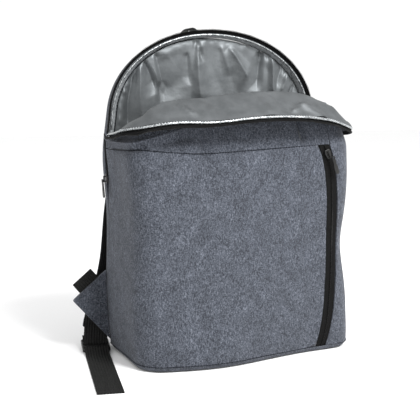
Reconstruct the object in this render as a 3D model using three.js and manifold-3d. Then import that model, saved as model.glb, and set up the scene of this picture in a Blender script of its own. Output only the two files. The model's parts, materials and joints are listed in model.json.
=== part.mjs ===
// A felt cooler backpack, standing on its base with the mouth unzipped and its front lip folded out.
// Millimetres, +X to the wearer's right hand, -Y to the front, +Z up.
// The origin is the middle of the flat base. Soft walls are closed sheets on one shared body surface.
import * as THREE from 'three';
import { mergeVertices } from 'three/addons/utils/BufferGeometryUtils.js';
import Module from 'manifold-3d';

const wasm = await Module();
wasm.setup();

// Driving dimensions of the bag
const halfWidth = 139;
const frontDepth = 63;
const backDepth = 65;
const seamHeight = 257;
const archSpring = 290;
const archRise = 110;
const archInset = 1;
const archHalf = halfWidth - archInset;
const archLean = 4;
const archSquare = 0.95;
const gussetWidth = 18;
const mouthDepth = backDepth - gussetWidth;
const frontCorner = 25;
const frontSwell = 23.5;

// Walls and working gaps
const feltWall = 2.5;
const liningWall = 2.0;
const clearance = 0.35;
const foamGap = 0.8;
const baseRim = 6.6;
const baseRound = 7;
const backTurn = 6;

// Zips
const zipTapeWidth = 14;
const sideZipSlot = 11.5;
const tapeThick = 1.2;
const mouthTapeWidth = 5;
const coilRise = 1.0;
const weltRadius = 1.3;
const sliderLength = 11;
const sliderWidth = 8;
const pullerLength = 23;
const pullerWidth = 5.5;
const pullerThick = 1.4;

// Lip: the collar that stands above the pocket seam and folds forward
const ridgeRadius = 9;
const lipLength = 40;
const collarLength = 60;

// Depths that the tables of dents, creases and pleats follow
const dentSize = 3;
const creaseSize = 2;
const pleatSize = 5.5;
const stripWidest = 9;
const seamForward = 7;

// Straps
const webbingWidth = 30;
const webbingThick = 1.6;
const strapWidth = 60;
const strapWall = 2.5;
const haulWidth = 20;
const haulRise = 40;
const haulSpan = 40;
const haulPeak = 1.5;
const haulProud = 7;
const haulCentre = -20;
const lockWidth = 35;
const lockThick = 3.5;
const lockBar = 4;
const lockSlot = 6;
const wingReach = 43;
const wingHigh = 102;
const wingLow = 13;
const wingThick = 4;
const tailLength = 158;
const strapReach = 37;

// Body sections from the base seam up. height is a share of seamHeight, left and right are shares of
// halfWidth, front is a share of frontDepth, and swell is a share of frontSwell.
const bodySections = [
  { height: 0.00, left: 0.972, right: 1.060, front: 0.93, swell: 1.00 },
  { height: 0.06, left: 0.984, right: 1.062, front: 0.95, swell: 0.96 },
  { height: 0.15, left: 1.000, right: 1.048, front: 0.98, swell: 0.72 },
  { height: 0.28, left: 1.010, right: 1.022, front: 1.00, swell: 0.44 },
  { height: 0.42, left: 1.010, right: 0.992, front: 1.01, swell: 0.28 },
  { height: 0.53, left: 0.998, right: 0.966, front: 1.01, swell: 0.20 },
  { height: 0.64, left: 0.992, right: 0.984, front: 1.02, swell: 0.16 },
  { height: 0.77, left: 1.006, right: 1.012, front: 1.02, swell: 0.12 },
  { height: 0.88, left: 1.020, right: 1.018, front: 1.01, swell: 0.06 },
  { height: 1.00, left: 1.042, right: 1.014, front: 1.00, swell: 0.00 },
  { height: 1.13, left: 1.010, right: 1.002, front: 1.00, swell: 0.00 },
];

// The swell of the front bulges most left of the middle. Both are shares of halfWidth.
const swellCentre = -0.33;
const swellSpread = 0.62;

// Soft dents and folds of the felt: along is a stretch of the wall (0 to 5, from the left back zip
// round the front to the right back zip), high is a share of seamHeight, depth one of dentSize, inwards.
const wallDents = [
  { along: 0.55, high: 0.86, wide: 0.30, tall: 0.10, depth: 1.000 },
  { along: 1.20, high: 0.60, wide: 0.50, tall: 0.22, depth: 0.500 },
  { along: 1.30, high: 0.12, wide: 0.35, tall: 0.14, depth: -0.667 },
  { along: 2.35, high: 0.93, wide: 0.18, tall: 0.05, depth: 0.533 },
  { along: 2.20, high: 0.45, wide: 0.16, tall: 0.30, depth: 0.400 },
  { along: 2.62, high: 0.30, wide: 0.14, tall: 0.25, depth: -0.400 },
  { along: 3.55, high: 0.52, wide: 0.25, tall: 0.04, depth: 1.000 },
  { along: 3.70, high: 0.78, wide: 0.30, tall: 0.09, depth: -0.500 },
];

// Stations of the collar along the wall. seam is the pocket seam's height as a share of seamHeight,
// leg a share of collarLength, lip of lipLength and round of ridgeRadius; lean and fold are degrees.
const collarStations = [
  { along: 0.00, seam: 1.000, leg: 0.11, lean: 1, fold: 8, round: 0.50, lip: 0.12 },
  { along: 0.35, seam: 1.000, leg: 0.15, lean: 8, fold: 78, round: 0.50, lip: 0.06 },
  { along: 0.75, seam: 1.002, leg: 0.27, lean: 24, fold: 144, round: 0.61, lip: 0.14 },
  { along: 1.10, seam: 1.006, leg: 0.36, lean: 26, fold: 152, round: 0.78, lip: 0.26 },
  { along: 1.50, seam: 1.009, leg: 0.48, lean: 26, fold: 155, round: 0.89, lip: 0.40 },
  { along: 2.00, seam: 1.003, leg: 0.68, lean: 23, fold: 152, round: 1.00, lip: 0.68 },
  { along: 2.22, seam: 0.986, leg: 0.91, lean: 22, fold: 151, round: 1.00, lip: 0.92 },
  { along: 2.50, seam: 0.996, leg: 0.97, lean: 22, fold: 151, round: 1.00, lip: 1.02 },
  { along: 2.80, seam: 1.010, leg: 0.96, lean: 22, fold: 152, round: 1.00, lip: 1.02 },
  { along: 2.90, seam: 1.014, leg: 0.96, lean: 22, fold: 155, round: 1.00, lip: 1.04 },
  { along: 3.00, seam: 1.016, leg: 0.56, lean: 20, fold: 160, round: 0.90, lip: 0.46 },
  { along: 3.50, seam: 1.016, leg: 0.34, lean: 20, fold: 172, round: 0.80, lip: 0.10 },
  { along: 4.00, seam: 1.010, leg: 0.29, lean: 23, fold: 168, round: 0.74, lip: 0.13 },
  { along: 4.50, seam: 1.004, leg: 0.21, lean: 18, fold: 140, round: 0.62, lip: 0.12 },
  { along: 4.80, seam: 1.000, leg: 0.15, lean: 8, fold: 78, round: 0.50, lip: 0.06 },
  { along: 5.00, seam: 1.000, leg: 0.11, lean: 1, fold: 8, round: 0.50, lip: 0.12 },
];

// Creases of the lip, across it: depth is a share of creaseSize, wide in stretches of the wall.
const lipCreases = [
  { along: 1.60, wide: 0.14, depth: 1.000 },
  { along: 2.10, wide: 0.09, depth: -0.800 },
  { along: 2.25, wide: 0.10, depth: 0.700 },
  { along: 2.55, wide: 0.14, depth: -0.600 },
  { along: 2.80, wide: 0.08, depth: 0.900 },
  { along: 2.95, wide: 0.09, depth: -0.600 },
  { along: 3.40, wide: 0.14, depth: 0.750 },
];

// The pocket zip on the front's right: high is a share of seamHeight, off a share of halfWidth.
const pocketZipLine = [
  { high: 0.000, off: 0.700 },
  { high: 0.030, off: 0.728 },
  { high: 0.115, off: 0.772 },
  { high: 0.250, off: 0.794 },
  { high: 0.500, off: 0.806 },
  { high: 0.750, off: 0.800 },
  { high: 0.890, off: 0.790 },
  { high: 0.960, off: 0.752 },
  { high: 1.030, off: 0.708 },
];

// Width of the silver strip inside the dome's zip, as a share of stripWidest, along the arch from the
// left foot to the right.
const stripWidths = [
  { along: 0.00, width: 1.000 },
  { along: 0.35, width: 0.944 },
  { along: 0.50, width: 0.556 },
  { along: 0.65, width: 0.667 },
  { along: 1.00, width: 0.889 },
];

// Pleats of the dome's lining, falling from its seam: angle in degrees from the right foot of the arch,
// reach and width in shares of archHalf, depth a share of pleatSize.
const domePleats = [
  { angle: 150, reach: 0.75, wide: 0.055, depth: 0.727 },
  { angle: 128, reach: 1.10, wide: 0.070, depth: 1.000 },
  { angle: 112, reach: 0.90, wide: 0.065, depth: -0.636 },
  { angle: 99, reach: 1.25, wide: 0.060, depth: 0.909 },
  { angle: 88, reach: 1.00, wide: 0.055, depth: -0.727 },
  { angle: 78, reach: 1.15, wide: 0.060, depth: 0.818 },
  { angle: 64, reach: 0.85, wide: 0.060, depth: -0.545 },
  { angle: 52, reach: 0.95, wide: 0.055, depth: 0.818 },
  { angle: 30, reach: 0.60, wide: 0.060, depth: 0.545 },
];

const radians = THREE.MathUtils.degToRad;
const lerp = THREE.MathUtils.lerp;
const clamp = THREE.MathUtils.clamp;
const point = (x, y, z) => new THREE.Vector3(x, y, z);

// A smooth value between the rows of a table, without overshoot at its highs and lows
function column(table, key, name, at) {
  const last = table.length - 1;
  if (at <= table[0][key]) return table[0][name];
  if (at >= table[last][key]) return table[last][name];
  let i = 0;
  while (at > table[i + 1][key]) i += 1;
  const slope = (a) => (table[a + 1][name] - table[a][name]) / (table[a + 1][key] - table[a][key]);
  const tangent = (a) => {
    if (a <= 0 || a >= last) return 0;
    const before = slope(a - 1);
    const after = slope(a);
    return before * after <= 0 ? 0 : (2 * before * after) / (before + after);
  };
  const span = table[i + 1][key] - table[i][key];
  const s = (at - table[i][key]) / span;
  const rise = s * s * (3 - 2 * s);
  const first = table[i][name] * (1 - rise) + table[i + 1][name] * rise;
  return first + span * (s * (1 - s) ** 2 * tangent(i) - s * s * (1 - s) * tangent(i + 1));
}

// A bell that is 1 at its middle and fades to nothing
const bell = (distance, wide) => Math.exp(-((distance / wide) ** 2));

// Closed solids from grids

function orientedGeometry(vertices, triangles) {
  let volume = 0;
  for (const [a, b, c] of triangles) {
    volume += vertices[a].dot(new THREE.Vector3().crossVectors(vertices[b], vertices[c]));
  }
  const order = volume < 0 ? triangles.map(([a, b, c]) => [a, c, b]) : triangles;
  const geometry = new THREE.BufferGeometry();
  geometry.setAttribute('position', new THREE.Float32BufferAttribute(
    vertices.flatMap((v) => [v.x, v.y, v.z]), 3));
  geometry.setIndex(order.flat());
  geometry.computeVertexNormals();
  return geometry;
}

// A wall: two grids of points, outer(u, v) and inner(u, v), joined round their rim
function wall(us, vs, outer, inner) {
  const vertices = [];
  for (const side of [outer, inner]) {
    for (const v of vs) {
      for (const u of us) vertices.push(side(u, v));
    }
  }
  const wide = us.length;
  const high = vs.length;
  const half = wide * high;
  const triangles = [];
  const quad = (a, b, c, d) => triangles.push([a, b, c], [a, c, d]);
  for (let j = 0; j < high - 1; j += 1) {
    for (let i = 0; i < wide - 1; i += 1) {
      const a = j * wide + i;
      quad(a, a + 1, a + wide + 1, a + wide);
      quad(half + a, half + a + wide, half + a + wide + 1, half + a + 1);
    }
  }
  for (let i = 0; i < wide - 1; i += 1) {
    const top = (high - 1) * wide + i;
    quad(i + 1, i, half + i, half + i + 1);
    quad(top, top + 1, half + top + 1, half + top);
  }
  for (let j = 0; j < high - 1; j += 1) {
    const left = j * wide;
    const right = left + wide - 1;
    quad(left, left + wide, half + left + wide, half + left);
    quad(right + wide, right, half + right, half + right + wide);
  }
  return orientedGeometry(vertices, triangles);
}

// A disc-like sheet: rings of points round a middle, outer(a, r) and inner(a, r). turns lists a once round.
function disc(turns, rings, outer, inner) {
  const vertices = [];
  const triangles = [];
  const segments = turns.length;
  const layer = segments * rings.length + 1;
  for (const side of [outer, inner]) {
    vertices.push(side(0, 0));
    for (const r of rings) {
      for (const a of turns) vertices.push(side(a, r));
    }
  }
  const index = (side, ring, k) => side * layer + 1 + ring * segments + (k % segments);
  for (const side of [0, 1]) {
    for (let k = 0; k < segments; k += 1) {
      const turn = (list) => triangles.push(side ? [...list].reverse() : list);
      turn([side * layer, index(side, 0, k), index(side, 0, k + 1)]);
      for (let ring = 0; ring < rings.length - 1; ring += 1) {
        const [a, b] = [index(side, ring, k), index(side, ring, k + 1)];
        const [c, d] = [index(side, ring + 1, k + 1), index(side, ring + 1, k)];
        turn([a, d, c]);
        turn([a, c, b]);
      }
    }
  }
  const edge = rings.length - 1;
  for (let k = 0; k < segments; k += 1) {
    const [a, b] = [index(0, edge, k), index(0, edge, k + 1)];
    const [c, d] = [index(1, edge, k + 1), index(1, edge, k)];
    triangles.push([a, d, c], [a, c, b]);
  }
  return orientedGeometry(vertices, triangles);
}

const steps = (from, to, count) => Array.from({ length: count + 1 }, (_, i) => lerp(from, to, i / count));

// A flat strip along a smooth path: rows hold the middle, the direction across and the width
function strip(rows, count, thick, across = 1, lift = 0) {
  const places = rows.map((row) => point(row.x, row.y, row.z));
  const middle = new THREE.CatmullRomCurve3(places, false, 'centripetal');
  const value = (s, name) => {
    const at = clamp(s * (rows.length - 1), 0, rows.length - 1);
    const i = Math.min(Math.floor(at), rows.length - 2);
    return lerp(rows[i][name], rows[i + 1][name], at - i);
  };
  const frame = (s) => {
    const centre = middle.getPoint(s);
    const tangent = middle.getTangent(s);
    const side = point(value(s, 'ax'), value(s, 'ay'), value(s, 'az'));
    side.addScaledVector(tangent, -side.dot(tangent)).normalize();
    const normal = new THREE.Vector3().crossVectors(tangent, side).normalize();
    return { centre, side, normal, width: value(s, 'width') };
  };
  const place = (s, v, off) => {
    const f = frame(s);
    return f.centre.addScaledVector(f.side, (v - 0.5) * f.width).addScaledVector(f.normal, off);
  };
  return wall(steps(0, 1, count), steps(0, 1, across),
    (s, v) => place(s, v, lift + thick / 2), (s, v) => place(s, v, lift - thick / 2));
}

// A round bead along a path of points, closed at both ends
function bead(pathPoints, radius, sides) {
  const path = new THREE.CatmullRomCurve3(pathPoints, false, 'centripetal');
  const section = new THREE.Shape(Array.from({ length: sides }, (_, k) => new THREE.Vector2(
    radius * Math.cos((2 * Math.PI * k) / sides), radius * Math.sin((2 * Math.PI * k) / sides))));
  return new THREE.ExtrudeGeometry(section, {
    steps: pathPoints.length - 1, bevelEnabled: false, extrudePath: path });
}

// Joining and cutting small hard pieces

function toSolid(geometry) {
  const bare = geometry.clone();
  bare.deleteAttribute('normal');
  bare.deleteAttribute('uv');
  const merged = mergeVertices(bare, 1e-4);
  return new wasm.Manifold(new wasm.Mesh({
    numProp: 3,
    vertProperties: new Float32Array(merged.attributes.position.array),
    triVerts: new Uint32Array(merged.index.array),
  }));
}

function fromSolid(solid) {
  const mesh = solid.getMesh();
  const geometry = new THREE.BufferGeometry();
  geometry.setAttribute('position', new THREE.BufferAttribute(new Float32Array(mesh.vertProperties), 3));
  geometry.setIndex(new THREE.BufferAttribute(new Uint32Array(mesh.triVerts), 1));
  geometry.computeVertexNormals();
  return geometry;
}

const fuse = (...parts) => fromSolid(parts.map(toSolid).reduce((sum, part) => sum.add(part)));

const block = (x, y, z, cx = 0, cy = 0, cz = 0) => new THREE.BoxGeometry(x, y, z).translate(cx, cy, cz);

// The body surface

const baseHeight = baseRim + 2 * clearance;
const section = (name, z) => column(bodySections, 'height', name, z / seamHeight);
const leftX = (z) => -halfWidth * section('left', z);
const rightX = (z) => halfWidth * section('right', z);
const frontY = (z) => -frontDepth * section('front', z);

// Stretches of the wall in plan: 0 to 1 left side, 1 to 2 left corner, 2 to 3 front, 3 to 4 right
// corner, 4 to 5 right side
function planPoint(along, z) {
  const [left, right, front] = [leftX(z), rightX(z), frontY(z)];
  const stretch = Math.min(Math.floor(along), 4);
  const s = along - stretch;
  const r = frontCorner;
  if (stretch === 0) return { x: left, y: lerp(mouthDepth, front + r, s), nx: -1, ny: 0 };
  if (stretch === 4) return { x: right, y: lerp(front + r, mouthDepth, s), nx: 1, ny: 0 };
  if (stretch === 2) return { x: lerp(left + r, right - r, s), y: front, nx: 0, ny: -1 };
  const turn = s * Math.PI / 2;
  const [nx, ny] = stretch === 1 ? [-Math.cos(turn), -Math.sin(turn)] : [Math.sin(turn), -Math.cos(turn)];
  return { x: (stretch === 1 ? left + r : right - r) + r * nx, y: front + r + r * ny, nx, ny };
}

function dentDepth(along, z) {
  return wallDents.reduce((sum, dent) => sum + dentSize * dent.depth
    * bell(along - dent.along, dent.wide) * bell(z / seamHeight - dent.high, dent.tall), 0);
}

function bodyPoint(along, z) {
  const p = planPoint(along, z);
  const swell = frontSwell * section('swell', z) * bell(p.x / halfWidth - swellCentre, swellSpread);
  const forward = clamp(-p.ny, 0, 1) ** 0.5;
  const dent = dentDepth(along, z);
  return {
    at: point(p.x - p.nx * dent, p.y - p.ny * dent - swell * forward, z),
    nx: p.nx,
    ny: p.ny,
  };
}

const station = (name, along) => column(collarStations, 'along', name, along);
const seamZ = (along) => seamHeight * station('seam', along);

// One point of the shared surface. share runs 0 to 1 from the base seam to the pocket seam, and 1 to 2
// up the collar, over the ridge and out to the zip's edge.
function surfacePoint(along, share) {
  const top = seamZ(along);
  if (share <= 1) return bodyPoint(along, lerp(baseHeight, top, share)).at;
  const foot = bodyPoint(along, top);
  const leg = collarLength * station('leg', along);
  const lip = lipLength * station('lip', along);
  const lean = -radians(station('lean', along));
  const fold = radians(station('fold', along));
  const radius = ridgeRadius * station('round', along);
  const bend = radius * fold;
  const run = (share - 1) * (leg + bend + lip);
  const straight = Math.min(run, leg);
  const turned = clamp((run - leg) / bend, 0, 1) * fold;
  const beyond = Math.max(run - leg - bend, 0);
  const out = straight * Math.sin(lean) + radius * (Math.cos(lean) - Math.cos(lean + turned))
    + beyond * Math.sin(lean + fold);
  const up = straight * Math.cos(lean) + radius * (Math.sin(lean + turned) - Math.sin(lean))
    + beyond * Math.cos(lean + fold);
  const depth = lipCreases.reduce((sum, row) => sum + row.depth * bell(along - row.along, row.wide), 0);
  const crease = creaseSize * depth * clamp((share - 1) * 2, 0, 1);
  return point(foot.at.x + foot.nx * out, foot.at.y + foot.ny * out, foot.at.z + up - crease);
}

function surfaceNormal(along, share) {
  const step = 0.01;
  const a0 = clamp(along - step, 0, 5);
  const a1 = clamp(along + step, 0, 5);
  const s0 = clamp(share - step, 0, 2);
  const s1 = clamp(share + step, 0, 2);
  const across = surfacePoint(a1, share).sub(surfacePoint(a0, share));
  const up = surfacePoint(along, s1).sub(surfacePoint(along, s0));
  return across.cross(up).normalize();
}

const offsetPoint = (along, share, lift) => surfacePoint(along, share)
  .addScaledVector(surfaceNormal(along, share), lift);

// Felt lies outside the shared surface, lining inside it
const feltInner = foamGap / 2;
const feltOuter = feltInner + feltWall;
const liningOuter = -foamGap / 2;
const liningInner = liningOuter - liningWall;

// Where the pocket zip runs, as a stretch of the wall
function alongAt(x, z) {
  const [left, right] = [leftX(z) + frontCorner, rightX(z) - frontCorner];
  if (x <= right) return 2 + (x - left) / (right - left);
  return 3 + Math.asin(clamp((x - right) / frontCorner, 0, 1)) / (Math.PI / 2);
}
const pocketZipX = (z) => halfWidth * column(pocketZipLine, 'high', 'off', z / seamHeight);
const zipSide = zipTapeWidth / 2 + 2 * clearance;
const heightAt = (share) => lerp(baseHeight, seamHeight, Math.min(share, 1));
const zipEdge = (share, side) => alongAt(pocketZipX(heightAt(share)) + side * zipSide, heightAt(share));

const runLength = (along) => collarLength * station('leg', along)
  + ridgeRadius * station('round', along) * radians(station('fold', along))
  + lipLength * station('lip', along);
const wallShares = [0, 0.06, 0.14, 0.26, 0.38, 0.5, 0.62, 0.74, 0.86, 0.95, 1];
const liningShares = [0.06, 0.26, 0.5, 0.62, 0.74, 0.86, 0.95, 0.99];
const collarShares = [0, 0.16, 0.32, 0.44, 0.54, 0.64, 0.78, 0.9, 1];
const collarShare = (along, s) => lerp(1 + clearance / runLength(along), 2, s);
const sideShare = 0.004;
const zipStart = 0.84;

// Lines down the wall, closer together round the corners, shared by felt and lining. The first and last
// step back to leave the slot of the mouth's zip above its slider.
const sideLength = (z) => mouthDepth - frontY(z) - frontCorner;
const slotShare = (share) => (share > zipStart ? sideZipSlot / sideLength(heightAt(share)) : sideShare);
const mouthLine = (share) => slotShare(share);
const mouthLineRight = (share) => 5 - slotShare(share);
const innerLines = [...steps(0.22, 1, 4), ...steps(1, 2, 5).slice(1), ...steps(2, 3, 10).slice(1),
  ...steps(3, 4, 5).slice(1), ...steps(4, 4.78, 4).slice(1)];

// A sheet on the shared surface: lines are numbers or functions of the share
function sheetOn(lines, shares, near, far, shareOf = (along, s) => s) {
  const place = (lift) => (line, s) => {
    const along = typeof line === 'number' ? line : line(s);
    return offsetPoint(along, shareOf(along, s), lift);
  };
  return wall(lines, shares, place(far), place(near));
}

const slotLine = () => slotShare(1);
const slotLineRight = () => 5 - slotShare(1);
const beforeZip = innerLines.filter((along) => along < 2.85);
const afterZip = innerLines.filter((along) => along > 3.35);
const zipLine = (side) => (share) => zipEdge(share, side);
const besideZip = (line, part) => (share) => (share > 1 ? line : lerp(zipEdge(share, 1), afterZip[0], part));
const lipLines = [slotLine, ...beforeZip, () => zipEdge(1, 1), ...innerLines.filter((along) => along > 2.95),
  slotLineRight];

const pocketPanel = () => sheetOn([mouthLine, ...beforeZip, zipLine(-1)], wallShares, feltInner, feltOuter);
const collarPanel = () => sheetOn([slotLine, ...beforeZip, () => zipEdge(1, 1) - clearance / halfWidth],
  collarShares, feltInner, feltOuter, collarShare);
const sidePanelRight = () => sheetOn(
  [zipLine(1), besideZip(3, 0.33), besideZip(3.2, 0.66), ...afterZip, mouthLineRight],
  [...wallShares, ...collarShares.slice(1).map((s) => 1 + s)], feltInner, feltOuter);
const liningWallPanel = () => sheetOn([() => sideShare, ...innerLines, () => 5 - sideShare],
  liningShares, liningOuter, liningInner);
const liningLipPanel = () => sheetOn(lipLines,
  collarShares, liningOuter, liningInner, collarShare);

// The zipped stretch of the mouth's zip, below each corner of the mouth, in its slot
function mouthTapeSide(side) {
  const shares = [...wallShares.filter((share) => share > zipStart), 1.4, 1.9];
  const place = (u, share, lift) => {
    const slot = sideZipSlot - 2 * clearance;
    const off = (clearance + u * slot) / sideLength(seamHeight);
    return offsetPoint(side < 0 ? off : 5 - off, share, lift);
  };
  const ridge = (u) => (Math.abs(u - 0.5) < 0.01 ? coilRise : 0);
  return wall([0, 0.36, 0.5, 0.64, 1], shares,
    (u, share) => place(u, share, feltInner + tapeThick + ridge(u)),
    (u, share) => place(u, share, feltInner));
}

// The back half: an arch outline in XZ, from the left foot over the dome to the right foot
const archFoot = baseHeight;
const archStraight = 0.3;
// The arch is a little squarer than an ellipse, and leans out on its right
function archCrossX(cosine) {
  const lean = cosine > 0 ? archLean * cosine ** 2 : 0;
  return archHalf * Math.sign(cosine) * Math.abs(cosine) ** archSquare + lean;
}

function archPoint(s, inset) {
  const place = (q) => {
    if (q < archStraight) {
      const z = lerp(archFoot, archSpring, q / archStraight);
      return [archSideX(z, -1), z];
    }
    if (q > 1 - archStraight) {
      const z = lerp(archFoot, archSpring, (1 - q) / archStraight);
      return [archSideX(z, 1), z];
    }
    const angle = Math.PI * (1 - (q - archStraight) / (1 - 2 * archStraight));
    return [archCrossX(Math.cos(angle)), archSpring + archRise * Math.sin(angle) ** archSquare];
  };
  const [x, z] = place(s);
  const [x0, z0] = place(clamp(s - 0.004, 0, 1));
  const [x1, z1] = place(clamp(s + 0.004, 0, 1));
  const length = Math.hypot(x1 - x0, z1 - z0);
  const normal = [-(z1 - z0) / length, (x1 - x0) / length];
  return { x: x - normal[0] * inset, z: z - normal[1] * inset, nx: normal[0], nz: normal[1] };
}
function archSideX(z, side) {
  const body = side < 0 ? leftX(z) : rightX(z);
  const blend = clamp((z - seamHeight) / (archSpring - seamHeight), 0, 1);
  return lerp(body, archCrossX(side), blend * blend * (3 - 2 * blend));
}
const archSteps = [...steps(0, archStraight, 7), ...steps(archStraight, 1 - archStraight, 18).slice(1),
  ...steps(1 - archStraight, 1, 7).slice(1)];

// The gusset's section behind the zip: inset from the arch and depth, turning in to the back panel
const zipPlane = mouthDepth + clearance;
const gussetProfile = [
  { inset: 0, y: zipPlane },
  { inset: 0, y: lerp(zipPlane, backDepth, 0.5) },
  { inset: backTurn * 0.25, y: backDepth - backTurn * 0.35 },
  { inset: backTurn, y: backDepth },
];
function backGusset() {
  const place = (s, row, depth) => {
    const here = gussetProfile[row];
    const next = gussetProfile[Math.min(row + 1, 3)];
    const last = gussetProfile[Math.max(row - 1, 0)];
    const [di, dy] = [next.inset - last.inset, next.y - last.y];
    const length = Math.hypot(di, dy);
    const p = archPoint(s, here.inset - feltOuter + (depth * dy) / length);
    return point(p.x, here.y - (depth * di) / length, p.z);
  };
  return wall(archSteps, [0, 1, 2, 3], (s, row) => place(s, row, 0), (s, row) => place(s, row, feltWall));
}

// A closed loop round the back half at a given inset: the arch and a straight foot
function backLoop(a, inset, footZ) {
  if (a <= 1 - footShare) {
    const p = archPoint(a / (1 - footShare), inset);
    return { x: p.x, z: Math.max(p.z, footZ) };
  }
  const s = (a - (1 - footShare)) / footShare;
  const right = archPoint(1, inset);
  const left = archPoint(0, inset);
  return { x: lerp(right.x, left.x, s), z: footZ };
}
const backMiddle = { x: 0, z: 190 };
const footShare = 0.14;
const backTurns = [...archSteps.map((s) => s * (1 - footShare)), ...steps(1 - footShare, 1, 8).slice(1, -1)];
const toMiddle = (edge, r) => ({ x: lerp(backMiddle.x, edge.x, r), z: lerp(backMiddle.z, edge.z, r) });
const backBulge = 4;

function backPanel() {
  const inset = backTurn - feltOuter + feltWall / 2 + clearance;
  const side = (lift) => (a, r) => {
    const p = toMiddle(backLoop(a, inset, archFoot), r);
    return point(p.x, backDepth + backBulge * (1 - r * r) - lift, p.z);
  };
  return disc(backTurns, [0.35, 0.7, 1], side(0), side(feltWall));
}

// The pleats of the dome lining, deepest at its seam
function pleatDepth(x, z) {
  return domePleats.reduce((sum, pleat) => {
    const angle = radians(pleat.angle);
    const [ax, az] = [archHalf * Math.cos(angle), archSpring + archRise * Math.sin(angle)];
    const [dx, dz] = [-ax, archSpring * 0.55 - az];
    const length = Math.hypot(dx, dz);
    const run = ((x - ax) * dx + (z - az) * dz) / length;
    const off = ((x - ax) * dz - (z - az) * dx) / length;
    const fade = clamp(1 - run / (pleat.reach * archHalf), 0, 1) * clamp(1 + run / (0.2 * archHalf), 0, 1);
    const wide = (pleat.wide + 0.06 * clamp(run / archHalf, 0, 1)) * archHalf;
    return sum + pleatSize * pleat.depth * fade * bell(off, wide);
  }, 0);
}

const stripWidth = (s) => stripWidest * column(stripWidths, 'along', 'width', s);
const liningBackY = backDepth - feltWall - clearance;
const stripInset = feltWall - feltOuter + clearance;
const pleatShare = 0.7;
const pleatRest = 0.5 * pleatSize;

function liningBack() {
  const side = (lift) => (a, r) => {
    const s = clamp(a / (1 - footShare), 0, 1);
    const inset = stripInset + stripWidth(s) + 3 * clearance;
    const p = toMiddle(backLoop(a, inset, archFoot + inset), r);
    const fade = clamp((1 - r) * 14, 0, 1);
    const forward = seamForward * r ** 8 + (pleatRest + pleatShare * pleatDepth(p.x, p.z)) * fade;
    return point(p.x, liningBackY - Math.max(forward, 0) - lift, p.z);
  };
  return disc(backTurns, [0.3, 0.5, 0.68, 0.82, 0.92, 1], side(0), side(liningWall));
}

// The silver strip between the dome's zip tape and the lining's seam, sloping back and inwards
function liningStrip() {
  const place = (s, v, depth) => {
    const p = archPoint(s, stripInset + v * stripWidth(s));
    return point(p.x, lerp(zipPlane, liningBackY - liningWall - seamForward, v) + depth, p.z);
  };
  return wall(archSteps, [0, 1], (s, v) => place(s, v, 0), (s, v) => place(s, v, liningWall));
}

// Base and lining floor: loops in plan round the whole bag

const frontShare = 0.62;
const planTurns = [0, ...innerLines.map((along) => along / 5), 1].map((s) => s * frontShare)
  .concat([0.12, 0.3, 0.5, 0.7, 0.88].map((s) => lerp(frontShare, 1, s)));
function baseLoop(a, inset) {
  const z = baseHeight;
  if (a <= frontShare) {
    const body = bodyPoint((a / frontShare) * 5, z);
    return point(body.at.x - body.nx * inset, body.at.y - body.ny * inset, 0);
  }
  const s = (a - frontShare) / (1 - frontShare);
  const turn = backTurn;
  const [left, right] = [leftX(z) + inset, rightX(z) - inset];
  const back = backDepth - feltOuter - inset;
  if (s < 0.12) return point(right, lerp(mouthDepth, back - turn, s / 0.12), 0);
  if (s > 0.88) return point(left, lerp(back - turn, mouthDepth, (s - 0.88) / 0.12), 0);
  return point(lerp(right - turn, left + turn, (s - 0.12) / 0.76), back, 0);
}
const baseMiddle = point(0, 0, 0);
function basePoint(a, inset, r, z) {
  const edge = baseLoop(a, inset);
  return point(lerp(baseMiddle.x, edge.x, r), lerp(baseMiddle.y, edge.y, r), z);
}
// Rows of the base: share of the way out, inset from the wall and height, below and above
const baseProfile = [
  { r: 0.00, under: { inset: 0, z: 0 }, over: { inset: 0, z: feltWall } },
  { r: 0.55, under: { inset: baseRound, z: 0 }, over: { inset: baseRound, z: feltWall } },
  { r: 1.00, under: { inset: baseRound - feltOuter, z: 0 }, over: { inset: baseRound, z: feltWall } },
  {
    r: 1.00,
    under: { inset: 0.3 * baseRound - feltOuter, z: 0.28 * baseRim },
    over: { inset: 0.35 * baseRound, z: 0.62 * baseRim },
  },
  { r: 1.00, under: { inset: -feltOuter, z: baseRim }, over: { inset: -feltInner, z: baseRim } },
];
function bottomPanel() {
  const side = (which) => (a, ring) => {
    const row = baseProfile[Math.round(ring)];
    return basePoint(a, row[which].inset, row.r, row[which].z);
  };
  return disc(planTurns, [1, 2, 3, 4], side('under'), side('over'));
}
function liningFloor() {
  const z = feltWall + clearance;
  const inset = baseRound + clearance;
  return disc(planTurns, [0.55, 1],
    (a, r) => basePoint(a, inset, r, z), (a, r) => basePoint(a, inset, r, z + liningWall));
}

// Zip tapes

// The dome's tape: from the gusset's front edge forward and flared outwards
const tapeFlare = 0.55;
function mouthTapeBack() {
  const from = archStraight * (seamHeight + 18) / archSpring;
  const place = (s, v, depth) => {
    const reach = v * mouthTapeWidth;
    const p = archPoint(s, -feltOuter + 0.5 * feltWall - reach * tapeFlare + depth * 0.8);
    return point(p.x, mouthDepth - clearance - reach * 0.75 - 0.2 + depth * 0.3, p.z);
  };
  const inner = archSteps.filter((s) => s > from + 0.01 && s < 1 - from - 0.01);
  return wall([from, ...inner, 1 - from], [0, 1], (s, v) => place(s, v, 0), (s, v) => place(s, v, tapeThick));
}

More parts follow.
